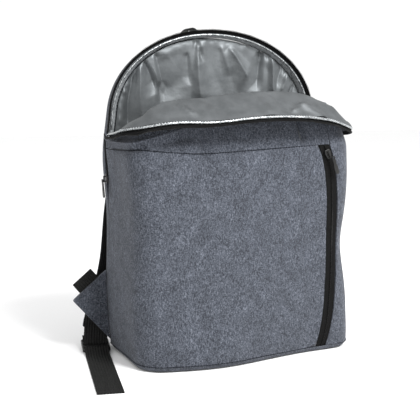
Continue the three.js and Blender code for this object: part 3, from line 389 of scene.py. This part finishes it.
# %% Ribbon helpers
def sections_of(node, start, count):
    """The cross-sections of a strip's solid, in order from its end nearest to start."""
    piece = merged_copy(node, "scratch_strip")
    points = [v.co.copy() for v in piece.data.vertices]
    links = [set() for _ in points]
    for a, b in (edge.vertices for edge in piece.data.edges):
        links[a].add(b)
        links[b].add(a)
    bpy.ops.object.delete()
    start = Vector(start)
    ring = sorted(range(len(points)), key=lambda i: (points[i] - start).length)[:count]
    seen = set(ring)
    rings = []
    while ring:
        rings.append([points[i] for i in ring])
        ring = sorted({n for i in ring for n in links[i]} - seen)
        seen.update(ring)
    return rings


def strip_end(node):
    """The middle of one end of a strip's solid, the face whose points all have three neighbours."""
    piece = merged_copy(node, "scratch_strip")
    mesh = piece.data
    joins = [0] * len(mesh.vertices)
    for edge in mesh.edges:
        for i in edge.vertices:
            joins[i] += 1
    ends = [face.center.copy() for face in mesh.polygons if all(joins[i] == 3 for i in face.vertices)]
    bpy.ops.object.delete()
    return ends[0]


def frame_of(rings):
    """Middle, direction across and width of each cross-section."""
    rows = []
    last = None
    for ring in rings:
        cloud = np.array([list(p) for p in ring])
        middle = cloud.mean(axis=0)
        across = np.linalg.svd(cloud - middle)[2][0]
        if last is not None and np.dot(across, last) < 0:
            across = -across
        last = across
        off = (cloud - middle) @ across
        rows.append((Vector(middle), Vector(across), float(off.max() - off.min())))
    return rows


def spline(values, at):
    """A smooth value between those of a list."""
    last = len(values) - 1
    i = min(int(at), last - 1)
    s = at - i
    a, b, c, d = (values[max(i - 1, 0)], values[i], values[i + 1], values[min(i + 2, last)])
    return b + (c - a) * (0.5 * s) + (a * 2 - b * 5 + c * 4 - d) * (0.5 * s * s) + (b * 3 - a - c * 3 + d) * (
        0.5 * s * s * s)


def ribbon(name, rings, thick, across=6, softened=False):
    """A closed ribbon through the cross-sections; softened rounds its rims by a subdivision."""
    rows = frame_of(rings)
    middles, sides, widths = ([row[k] for row in rows] for k in range(3))
    bpy.ops.mesh.primitive_grid_add(x_subdivisions=2 * len(rows), y_subdivisions=across, size=1)
    piece = bpy.context.object
    piece.name = name
    piece.data.name = name
    for vertex in piece.data.vertices:
        at = (vertex.co.x + 0.5) * (len(rows) - 1)
        middle = spline(middles, at)
        side = spline(sides, at).normalized()
        vertex.co = middle + side * (vertex.co.y * spline(widths, at))
    apply_modifier(piece, "SOLIDIFY", thickness=thick, offset=0)
    if softened:
        apply_modifier(piece, "SUBSURF", levels=1, render_levels=1)
    return piece


def cloth_area(piece):
    """Half of a sheet's surface, which is its area seen from one side with half of its rims."""
    return sum(face.area for face in piece.data.polygons) / 2


# %% [markdown]
# ## Rows of teeth and stitches
# A tooth or a stitch is modelled once, repeated along a line by an Array modifier and bent round its
# path by a Curve modifier, as it would be by hand.

# %% Repeating a small shape along a path
def path_object(name, points):
    """A poly curve through points."""
    bpy.ops.curve.primitive_nurbs_path_add()
    curve = bpy.context.object
    curve.name = name
    curve.data.splines.clear()
    spline_line = curve.data.splines.new("POLY")
    spline_line.points.add(len(points) - 1)
    for target, place in zip(spline_line.points, points):
        target.co = (*place, 1)
    curve.data.twist_mode = "Z_UP"
    return curve


def row_along(name, points, size, pitch, material, slot):
    """A row of small beads of one size (length, width, height) along a path."""
    length = sum((b - a).length for a, b in zip(points, points[1:]))
    bpy.ops.mesh.primitive_cube_add(size=1)
    piece = bpy.context.object
    piece.name = name
    piece.data.name = name
    for vertex in piece.data.vertices:
        vertex.co = Vector((vertex.co.x * size[0] + pitch / 2, vertex.co.y * size[1], vertex.co.z * size[2]))
    apply_modifier(piece, "SUBSURF", levels=1, render_levels=1)
    apply_modifier(piece, "ARRAY", fit_type="FIXED_COUNT", count=max(int(length / pitch), 1),
                   use_relative_offset=False, use_constant_offset=True,
                   constant_offset_displace=(pitch, 0, 0))
    curve = path_object(name + "_path", points)
    apply_modifier(piece, "CURVE", object=curve, deform_axis="POS_X")
    only(curve)
    bpy.ops.object.delete()
    return finished(piece, material, slot)


def mean(ring):
    """The middle of a cross-section."""
    return sum(ring, Vector()) / len(ring)


# %% [markdown]
# ## Seams
# Two panels of felt are sewn edge to edge. The line of their thread isn't drawn by hand: it is found
# where the points of one panel lie close to the other, so it follows the panels wherever they go.

# %% Where two panels meet
SEAM_REACH = 0.0016
SEAM_LIFT = 0.0003
SEAM_STEP = 0.0015
BAG_MIDDLE = Vector((0, 0.02, 0))


def tree_of(node):
    """A search tree over one solid of the frame."""
    mesh = frame["nodes"][node].data
    points = [v.co.copy() for v in mesh.vertices]
    return BVHTree.FromPolygons(points, [list(face.vertices) for face in mesh.polygons])


def outward(at):
    """The level direction from the middle of the bag to a point."""
    away = at - BAG_MIDDLE
    away.z = 0
    return away.normalized()


def seam_between(node, other):
    """The outer points of one panel where it meets another, in order round the bag from its left back."""
    piece = merged_copy(node, "scratch_panel")
    tree = tree_of(other)
    line = []
    for vertex in piece.data.vertices:
        near = tree.find_nearest(vertex.co, SEAM_REACH)
        if near[0] is not None and vertex.normal.dot(outward(vertex.co)) > 0.2:
            line.append(vertex.co + outward(vertex.co) * SEAM_LIFT)
    bpy.ops.object.delete()
    line.sort(key=lambda p: math.atan2(p.x, BAG_MIDDLE.y - p.y))
    kept = line[:1]
    for place in line:
        if (place - kept[-1]).length > SEAM_STEP:
            kept.append(place)
    return kept


# %% [markdown]
# ## Folds
# A fold of cloth is a crease with a slope on each side. Each row of a table runs from the place where
# its fold starts to its end, in millimetres, with the reach of its left and right slopes and its height.
# A height below nothing makes a valley. Tent-shaped slopes keep the crease crisp and its faces flat,
# as in cloth, where round bumps would look like dough.

# %% The height of a set of folds
def clamp(value, low=0.0, high=1.0):
    """A value held between two ends."""
    return max(low, min(high, value))


def fold_height(folds, across, up):
    """The sum of all folds at one place, in millimetres."""
    total = 0.0
    for fold in folds:
        start, end = Vector(fold["start"]), Vector(fold["end"])
        along = end - start
        off = Vector((across, up)) - start
        part = off.dot(along) / along.length_squared
        side = (off.x * along.y - off.y * along.x) / along.length
        reach = (fold["left"] if side > 0 else fold["right"]) * (0.6 + 0.8 * max(part, 0.0))
        tent = clamp(1 - abs(side) / reach)
        grip = clamp(part * 6 + 0.6) * clamp((1.4 - part) * 2.5)
        total += fold["height"] * grip * tent ** 1.4
    return total


# %% [markdown]
# ## The felt shell
# Each panel is subdivided until its curves are smooth. A slow ripple is then pressed into it, because
# felt that has been packed flat never hangs perfectly even. The ripple fades out towards the back of the bag.

# %% Ripples and folds in the felt
RIPPLE = 0.0015
RIPPLE_SIZE = 0.055
FELT_FOLDS = [
    {"start": (-152, 265), "end": (-84, 282), "left": 6, "right": 6, "height": 4.5},
    {"start": (-152, 257), "end": (-78, 272), "left": 6, "right": 7, "height": -3.2},
    {"start": (69, 292), "end": (73, 270), "left": 4, "right": 8, "height": -6.0},
    {"start": (-64, 272), "end": (-56, 246), "left": 13, "right": 10, "height": -2.6},
    {"start": (-20, 276), "end": (10, 262), "left": 9, "right": 12, "height": -1.8},
    {"start": (100, 276), "end": (92, 258), "left": 6, "right": 8, "height": -1.6},
]


def felt_fold(at):
    """A slow wave of the felt's surface and its folds, the same on both of its faces."""
    if at.y > 0.03:
        return Vector()
    wave = noise.noise(at / RIPPLE_SIZE) * RIPPLE
    fade = clamp((0.03 - at.y) / 0.03)
    return outward(at) * (wave + fold_height(FELT_FOLDS, at.x * 1000, at.z * 1000) / 1000) * fade


FELT_PANELS = ["pocket_panel", "collar_panel", "side_panel_right", "bottom_panel", "back_panel",
               "back_gusset", "wing_left", "wing_right"]
felt_pieces = {}
for node in FELT_PANELS:
    piece = rounded(node, node + "_felt", 4 if node == "collar_panel" else 2)
    if node in ("pocket_panel", "side_panel_right", "collar_panel"):
        moved(piece, felt_fold)
    felt_pieces[node] = finished(piece, felt, "felt", node)
print("felt panels:", len(felt_pieces))

# %% [markdown]
# ### Thread of the seams
# A dark thread shows where the pocket panel meets the collar and the base; its stitches overlap into
# one unbroken dark line, which also paints the shade in the seam. A groove in the material would be
# flat from the side, so each stitch is a small bead laid along the seam.

# %% Stitches along the felt's seams
SEAM_STITCH = (0.0044, 0.0011, 0.0011)
SEAM_PITCH = 0.0036
felt_seams = {
    "pocket_seam_thread": seam_between("pocket_panel", "collar_panel"),
    "base_seam_thread": seam_between("pocket_panel", "bottom_panel"),
    "side_base_seam_thread": seam_between("side_panel_right", "bottom_panel"),
}
for name, line in felt_seams.items():
    line = [place + felt_fold(place) for place in line]
    felt_pieces[name] = row_along(name, line, SEAM_STITCH, SEAM_PITCH, dark_thread_and_seam_shade, "felt")
    print(name, len(line), "points")

# %% [markdown]
# ## The foil lining
# The lining hangs from the mouth's seam in long folds that fan out downwards. Each fold is one row of a
# table, with a slow noise to bend it, and all fade out at the seam so that the rim stays in place. A
# cloth simulation could make such folds, but it would pull the rim off its seam.

# %% Folds of the lining
DOME_FOLDS = [
    {"start": (-104, 366), "end": (-112, 290), "left": 10, "right": 7, "height": -6.0},
    {"start": (-99, 370), "end": (-95, 290), "left": 6, "right": 22, "height": 5.0},
    {"start": (-95, 374), "end": (-79, 338), "left": 14, "right": 5, "height": -6.0},
    {"start": (-74, 372), "end": (-63, 330), "left": 9, "right": 24, "height": -6.0},
    {"start": (-70, 335), "end": (-62, 300), "left": 10, "right": 26, "height": -3.0},
    {"start": (-31, 374), "end": (-27, 346), "left": 16, "right": 5, "height": -3.0},
    {"start": (-22, 400), "end": (-12, 374), "left": 9, "right": 4, "height": -4.5},
    {"start": (-17, 388), "end": (-16, 322), "left": 7, "right": 24, "height": 6.0},
    {"start": (12, 382), "end": (22, 356), "left": 5, "right": 9, "height": 2.5},
    {"start": (24, 378), "end": (52, 348), "left": 18, "right": 12, "height": 6.0},
    {"start": (75, 382), "end": (69, 342), "left": 15, "right": 5, "height": -6.0},
    {"start": (85, 376), "end": (90, 330), "left": 6, "right": 15, "height": 5.5},
    {"start": (104, 366), "end": (98, 338), "left": 8, "right": 4, "height": -2.5},
    {"start": (112, 354), "end": (107, 332), "left": 4, "right": 8, "height": 3.0},
    {"start": (122, 336), "end": (114, 310), "left": 6, "right": 4, "height": -2.5},
]
LIP_FOLDS = [
    {"start": (-93, -61), "end": (-82, -76), "left": 3, "right": 3, "height": 3.4},
    {"start": (-84, -63), "end": (-76, -76), "left": 3, "right": 3, "height": 3.0},
    {"start": (-112, -58), "end": (-100, -76), "left": 8, "right": 5, "height": -1.8},
    {"start": (-55, -52), "end": (-40, -76), "left": 10, "right": 6, "height": -1.8},
    {"start": (0, -54), "end": (16, -82), "left": 10, "right": 5, "height": 2.4},
    {"start": (28, -56), "end": (40, -80), "left": 8, "right": 5, "height": -1.6},
    {"start": (46, -84), "end": (74, -74), "left": 4, "right": 8, "height": 3.4},
    {"start": (58, -74), "end": (88, -84), "left": 6, "right": 4, "height": 3.2},
    {"start": (94, -56), "end": (98, -84), "left": 8, "right": 9, "height": -1.8},
    {"start": (112, -60), "end": (118, -74), "left": 4, "right": 4, "height": 1.0},
]
DOME_ROOM = (-6.0, 9.0)
LIP_ROOM = -1.2
PUCKERS = 60
PUCKER = 0.9
HANG = 1.8
DOME_FLOOR = 0.22
strip_tree = tree_of("lining_strip")


def dome_fold(at):
    """The folds of the dome's lining: long creases, a soft roll below the seam and small puckers in it."""
    near = strip_tree.find_nearest(at)[3] * 1000
    drift = noise.noise(at * 24) * 5
    height = fold_height(DOME_FOLDS, at.x * 1000 + drift, at.z * 1000 + drift * 0.5)
    height += noise.noise(Vector((at.x * 30, at.z * 12, 2.0))) * 1.1
    height += HANG * (0.6 + noise.noise(at * 45)) * math.exp(-(((near - 8) / 6) ** 2))
    turn = math.atan2(at.x, at.z - 0.25)
    pucker = math.sin(turn * PUCKERS + 4 * noise.noise(at * 40)) * (0.4 + noise.noise(at * 60))
    height += PUCKER * pucker * math.exp(-(((near - 4) / 3.5) ** 2))
    fade = clamp(near / 4) * clamp((at.z - DOME_FLOOR) / 0.05)
    return Vector((0, -1, 0)) * clamp(height, *DOME_ROOM) / 1000 * fade


def lip_fold(at):
    """Shallow creases across the folded lip, and the fine crumple of its foil."""
    height = fold_height(LIP_FOLDS, at.x * 1000, at.y * 1000)
    height += noise.noise(Vector((at.x * 60 + at.y * 40, at.y * 20, 1.0))) * 0.5
    return Vector((0, 0, 1)) * max(height, LIP_ROOM) / 1000 * clamp((at.z - 0.285) / 0.01)


LINING = {"lining_wall": 1, "lining_lip": 3, "lining_back": 4, "lining_strip": 2, "lining_floor": 1,
          "welt_back": 1, "welt_front": 1}
LINING_FOLDS = {"lining_back": dome_fold, "lining_lip": lip_fold}
# The strip and piping foils carry painted light and painted highlight, the lip's foil painted shade.
LINING_LOOKS = {"welt_back": piping_painted_highlight, "welt_front": piping_painted_highlight, "lining_strip": strip_foil_painted_light,
                "lining_lip": lip_foil_painted_shade}
foil_pieces = {}
for node, levels in LINING.items():
    piece = rounded(node, node + "_foil", levels)
    if node in LINING_FOLDS:
        moved(piece, LINING_FOLDS[node])
    look = LINING_LOOKS.get(node, foil)
    foil_pieces[node] = finished(piece, look, "foil_lining", node)
print("lining pieces:", len(foil_pieces))

# %% [markdown]
# ## Webbing, straps and loops
# Each ribbon of the bag is now laid through the cross-sections of its solid. Webbing has crisp rims, as
# it is woven flat. The shoulder straps are felt and mesh over a thin foam, so they are thicker and their
# rims are rounded.

# %% Webbing, straps and loops
WEBBING = 0.0016
STRAP = 0.0025
STRAP_ACROSS = 8
TAIL_ENDS = {"left": (-0.193, -0.13, 0.0), "right": (0.149, 0.3, 0.0)}
HAUL_START = (-0.05, 0.077, 0.36)
STRAP_LAYERS = (("strap_felt_", felt, "felt"), ("strap_backing_", strap_mesh, "strap_backing"))
ribbons = {}
for side, sign in (("left", -1), ("right", 1)):
    rings = sections_of("webbing_" + side, TAIL_ENDS[side], 4)
    piece = ribbon("webbing_" + side + "_strap", rings, WEBBING)
    ribbons["webbing_" + side] = finished(piece, webbing, "webbing", "webbing_" + side)
    top = (sign * 0.03, 0.07, 0.39)
    for node, material, slot in STRAP_LAYERS:
        rings = sections_of(node + side, top, 6)
        piece = ribbon(node + side + "_cover", rings, STRAP, STRAP_ACROSS, True)
        ribbons[node + side] = finished(piece, material, slot, node + side)
    rings = sections_of("lock_loop_" + side, strip_end("lock_loop_" + side), 4)
    print("lock loop", side, "sections", [len(ring) for ring in rings])
    piece = ribbon("lock_loop_" + side + "_strap", rings, WEBBING)
    ribbons["lock_loop_" + side] = finished(piece, webbing, "webbing", "lock_loop_" + side)
rings = sections_of("haul_loop", HAUL_START, 4)
ribbons["haul_loop"] = finished(ribbon("haul_loop_strap", rings, WEBBING), webbing, "webbing", "haul_loop")
for name, piece in ribbons.items():
    print(name, len(piece.data.vertices), "points, area", round(cloth_area(piece), 5))

# %% [markdown]
# ## Zips
# The tapes are smoothed as the panels were. The teeth are real beads in a row, because a pattern in the
# material would vanish where a zip is seen from its edge. The lip and the dome get their stitches too.

# %% Tapes, teeth and stitches
TAPES = ("mouth_tape_back", "mouth_tape_front", "mouth_tape_left", "mouth_tape_right", "pocket_tape")
HANG_FROM = -0.05
HANG_OVER = 0.06
HANG_SHARE = 0.3
welt_line = [mean(ring) for ring in sections_of("welt_front", (-0.15, 0.04, 0.28), 5)]


def tape_hang(at):
    """The lip's tape hangs lower towards its left end, where the lip sags."""
    foot = min(welt_line, key=lambda place: (place - at).length)
    return Vector((0, 0, at.z - foot.z)) * HANG_SHARE * clamp((HANG_FROM - at.x) / HANG_OVER)


zips = {}
for node in TAPES:
    piece = rounded(node, node + "_cloth", 2)
    if node == "mouth_tape_front":
        moved(piece, tape_hang)
    zips[node] = finished(piece, zip_tape, "zip_tape", node)

TOOTH = (0.0011, 0.0028, 0.0012)
TOOTH_PITCH = 0.0016
pocket_rings = sections_of("pocket_tape", (0.1, -0.07, 0.27), 10)
outermost = [min(ring, key=lambda p: p.y) + Vector((0, -0.0003, 0)) for ring in pocket_rings]
zips["pocket_teeth"] = row_along("pocket_zip_teeth", outermost, TOOTH, TOOTH_PITCH, zip_teeth,
                                 "zip_tape")
lip_rings = sections_of("mouth_tape_front", (-0.15, 0.04, 0.27), 4)
lip_edge = [min(ring, key=lambda p: p.z) for ring in lip_rings]
lip_edge = [place + tape_hang(place) for place in lip_edge]
LIP_TOOTH = (0.0011, 0.0022, 0.0018)
zips["lip_teeth"] = row_along("lip_zip_teeth", lip_edge, LIP_TOOTH, TOOTH_PITCH, zip_teeth,
                              "zip_tape")
dome_rings = sections_of("mouth_tape_back", (-0.15, 0.045, 0.27), 4)
dome_edge = [min(ring, key=lambda p: p.y) for ring in dome_rings]
DOME_TOOTH = (0.0011, 0.0018, 0.0022)
zips["dome_teeth"] = row_along("dome_zip_teeth", dome_edge, DOME_TOOTH, TOOTH_PITCH, zip_teeth,
                               "zip_tape")
stitch_line = [p + Vector((0, -0.0004, 0.0011)) for p in welt_line]
strip_rings = sections_of("lining_strip", (-0.14, 0.05, 0.0), 4)
seam_line = [min(ring, key=lambda p: math.hypot(p.x, p.z - 0.27) + p.y) for ring in strip_rings]
seam_line = [p + Vector((0, -0.0008, 0)) for p in seam_line]
DOME_STITCH = (0.0026, 0.0012, 0.0010)
DOME_STITCH_PITCH = 0.0036
zips["dome_stitches"] = row_along("dome_seam_stitches", seam_line, DOME_STITCH, DOME_STITCH_PITCH,
                                  dark_thread_and_seam_shade, "foil_lining")
LIP_STITCH = (0.0022, 0.0009, 0.0008)
LIP_STITCH_PITCH = 0.0034
zips["lip_stitches"] = row_along("lip_welt_stitches", stitch_line, LIP_STITCH, LIP_STITCH_PITCH,
                                 pale_thread, "foil_lining")
print("zip teeth and stitches made")

# %% [markdown]
# ## Hard pieces
# Sliders, pullers and ladder locks are moulded or cast, so their edges get a small bevel, which catches
# the light as the real ones do. Subdivision would melt such small forms.

# %% Bevelled fastenings
FINE_BEVEL = 0.0003
LOCK_BEVEL = 0.0006
BEVEL_ANGLE = math.radians(35)
HARDWARE = {
    "pocket_slider": (plastic, "black_plastic", FINE_BEVEL),
    "pocket_puller": (plastic, "black_plastic", FINE_BEVEL),
    "mouth_slider": (metal, "grey_metal", FINE_BEVEL),
    "mouth_puller": (metal, "grey_metal", FINE_BEVEL),
    "ladder_lock_left": (plastic, "black_plastic", LOCK_BEVEL),
    "ladder_lock_right": (plastic, "black_plastic", LOCK_BEVEL),
}
hard_pieces = {}
for node, (material, slot, width) in HARDWARE.items():
    piece = merged_copy(node, node + "_body")
    apply_modifier(piece, "BEVEL", width=width, segments=2, limit_method="ANGLE", angle_limit=BEVEL_ANGLE)
    hard_pieces[node] = finished(piece, material, slot, node)

# %% [markdown]
# ## What the cloth was cut from
# Every sheet is listed with its width and length laid flat and, where its cut is not a rectangle, its
# area, in metres. The sizes are those of the modelled pieces. Half of a ribbon's surface comes out a
# little larger than its cut, because it counts the narrow faces of the rims too. The tapes, threads and
# fastenings go with the sheet they are on. The shoulder straps hold a thin foam.

# %% Sheets
SHEETS = [
    {"piece": felt_pieces["pocket_panel"], "flat": (0.350, 0.262), "area": 0.0880, "held": "stretched",
     "on": ["bottom_panel", "back_gusset"],
     "with": [felt_pieces["pocket_seam_thread"], felt_pieces["base_seam_thread"], zips["pocket_tape"],
              zips["pocket_teeth"], hard_pieces["pocket_slider"], hard_pieces["pocket_puller"]]},
    {"piece": felt_pieces["side_panel_right"], "flat": (0.165, 0.304), "area": 0.0366, "held": "stretched",
     "on": ["bottom_panel", "back_gusset"],
     "with": [felt_pieces["side_base_seam_thread"], zips["mouth_tape_right"]]},
    {"piece": felt_pieces["collar_panel"], "flat": (0.370, 0.105), "area": 0.0300, "held": "folded",
     "on": ["pocket_panel"], "with": [zips["mouth_tape_front"], zips["lip_teeth"]]},
    {"piece": felt_pieces["bottom_panel"], "flat": (0.289, 0.150), "area": 0.0411, "held": "laid", "on": [],
     "with": []},
    {"piece": felt_pieces["back_panel"], "flat": (0.283, 0.388), "area": 0.1010, "held": "stretched",
     "on": ["bottom_panel"], "with": []},
    {"piece": felt_pieces["back_gusset"], "flat": (0.018, 1.170), "area": None, "held": "stretched",
     "on": ["back_panel"],
     "with": [zips["mouth_tape_back"], zips["dome_teeth"], zips["mouth_tape_left"],
              hard_pieces["mouth_slider"], hard_pieces["mouth_puller"]]},
    {"piece": felt_pieces["wing_left"], "flat": (0.047, 0.090), "area": 0.0024, "held": "stretched",
     "on": ["back_gusset"], "with": []},
    {"piece": felt_pieces["wing_right"], "flat": (0.047, 0.090), "area": 0.0023, "held": "stretched",
     "on": ["back_gusset"], "with": []},
    {"piece": foil_pieces["lining_wall"], "flat": (0.480, 0.246), "area": 0.1125, "held": "stretched",
     "on": ["pocket_panel", "side_panel_right"], "with": []},
    {"piece": foil_pieces["lining_floor"], "flat": (0.269, 0.130), "area": 0.0320, "held": "laid",
     "on": ["bottom_panel"], "with": []},
    {"piece": foil_pieces["lining_lip"], "flat": (0.460, 0.110), "area": 0.0375, "held": "folded",
     "on": ["collar_panel"], "with": [foil_pieces["welt_front"], zips["lip_stitches"]]},
    {"piece": foil_pieces["lining_back"], "flat": (0.285, 0.382), "area": 0.1000, "held": "gathered",
     "on": ["lining_strip"], "with": [zips["dome_stitches"]]},
    {"piece": foil_pieces["lining_strip"], "flat": (0.012, 1.100), "area": 0.0109, "held": "stretched",
     "on": ["back_gusset"], "with": [foil_pieces["welt_back"]]},
    {"piece": ribbons["webbing_left"], "flat": (0.030, 0.313), "area": None, "held": "laid",
     "on": ["ladder_lock_left"], "with": []},
    {"piece": ribbons["webbing_right"], "flat": (0.030, 0.310), "area": None, "held": "laid",
     "on": ["ladder_lock_right"], "with": []},
    {"piece": ribbons["lock_loop_left"], "flat": (0.030, 0.028), "area": None, "held": "folded",
     "on": ["ladder_lock_left"], "with": [hard_pieces["ladder_lock_left"]]},
    {"piece": ribbons["lock_loop_right"], "flat": (0.030, 0.028), "area": None, "held": "folded",
     "on": ["ladder_lock_right"], "with": [hard_pieces["ladder_lock_right"]]},
    {"piece": ribbons["haul_loop"], "flat": (0.020, 0.094), "area": None, "held": "folded",
     "on": ["back_panel"], "with": []},
]


for row in SHEETS:
    cut = row["area"] or row["flat"][0] * row["flat"][1]
    print(row["piece"].name, "cut", round(cut, 4), "now", round(cloth_area(row["piece"]), 4))

# %% [markdown]
# ## The studio
# A pale floor and a pale sky light the bag from all round, and one broad lamp in front and to the right
# gives it a soft shape.

# %% Floor and lights
FLOOR_SIZE = 12.0
PAPER_TONE = (0.93, 0.93, 0.93, 1)
SKY_TONE = (1.0, 1.0, 1.0, 1)
SKY_STRENGTH = 1.04
KEY_AT = (0.55, -1.5, 1.75)
KEY_AIM = (0, 0, 0.2)
KEY_SIZE = 0.8
KEY_POWER = 74

bpy.ops.mesh.primitive_plane_add(size=FLOOR_SIZE)
floor = bpy.context.object
floor.name = "studio_floor"
paper, tree, shader = new_material("studio_paper", 0.9)
shader.inputs["Base Color"].default_value = PAPER_TONE
floor.data.materials.append(paper)

world = bpy.data.worlds.new("studio")
bpy.context.scene.world = world
world.use_nodes = True
world.node_tree.nodes["Background"].inputs["Color"].default_value = SKY_TONE
world.node_tree.nodes["Background"].inputs["Strength"].default_value = SKY_STRENGTH
bpy.context.scene.view_settings.view_transform = "Standard"

bpy.ops.object.light_add(type="AREA", location=KEY_AT)
lamp = bpy.context.object
lamp.name = "studio_key"
lamp.data.size = KEY_SIZE
lamp.data.energy = KEY_POWER
lamp.rotation_euler = (Vector(KEY_AIM) - Vector(KEY_AT)).to_track_quat("-Z", "Y").to_euler()
print("studio ready")
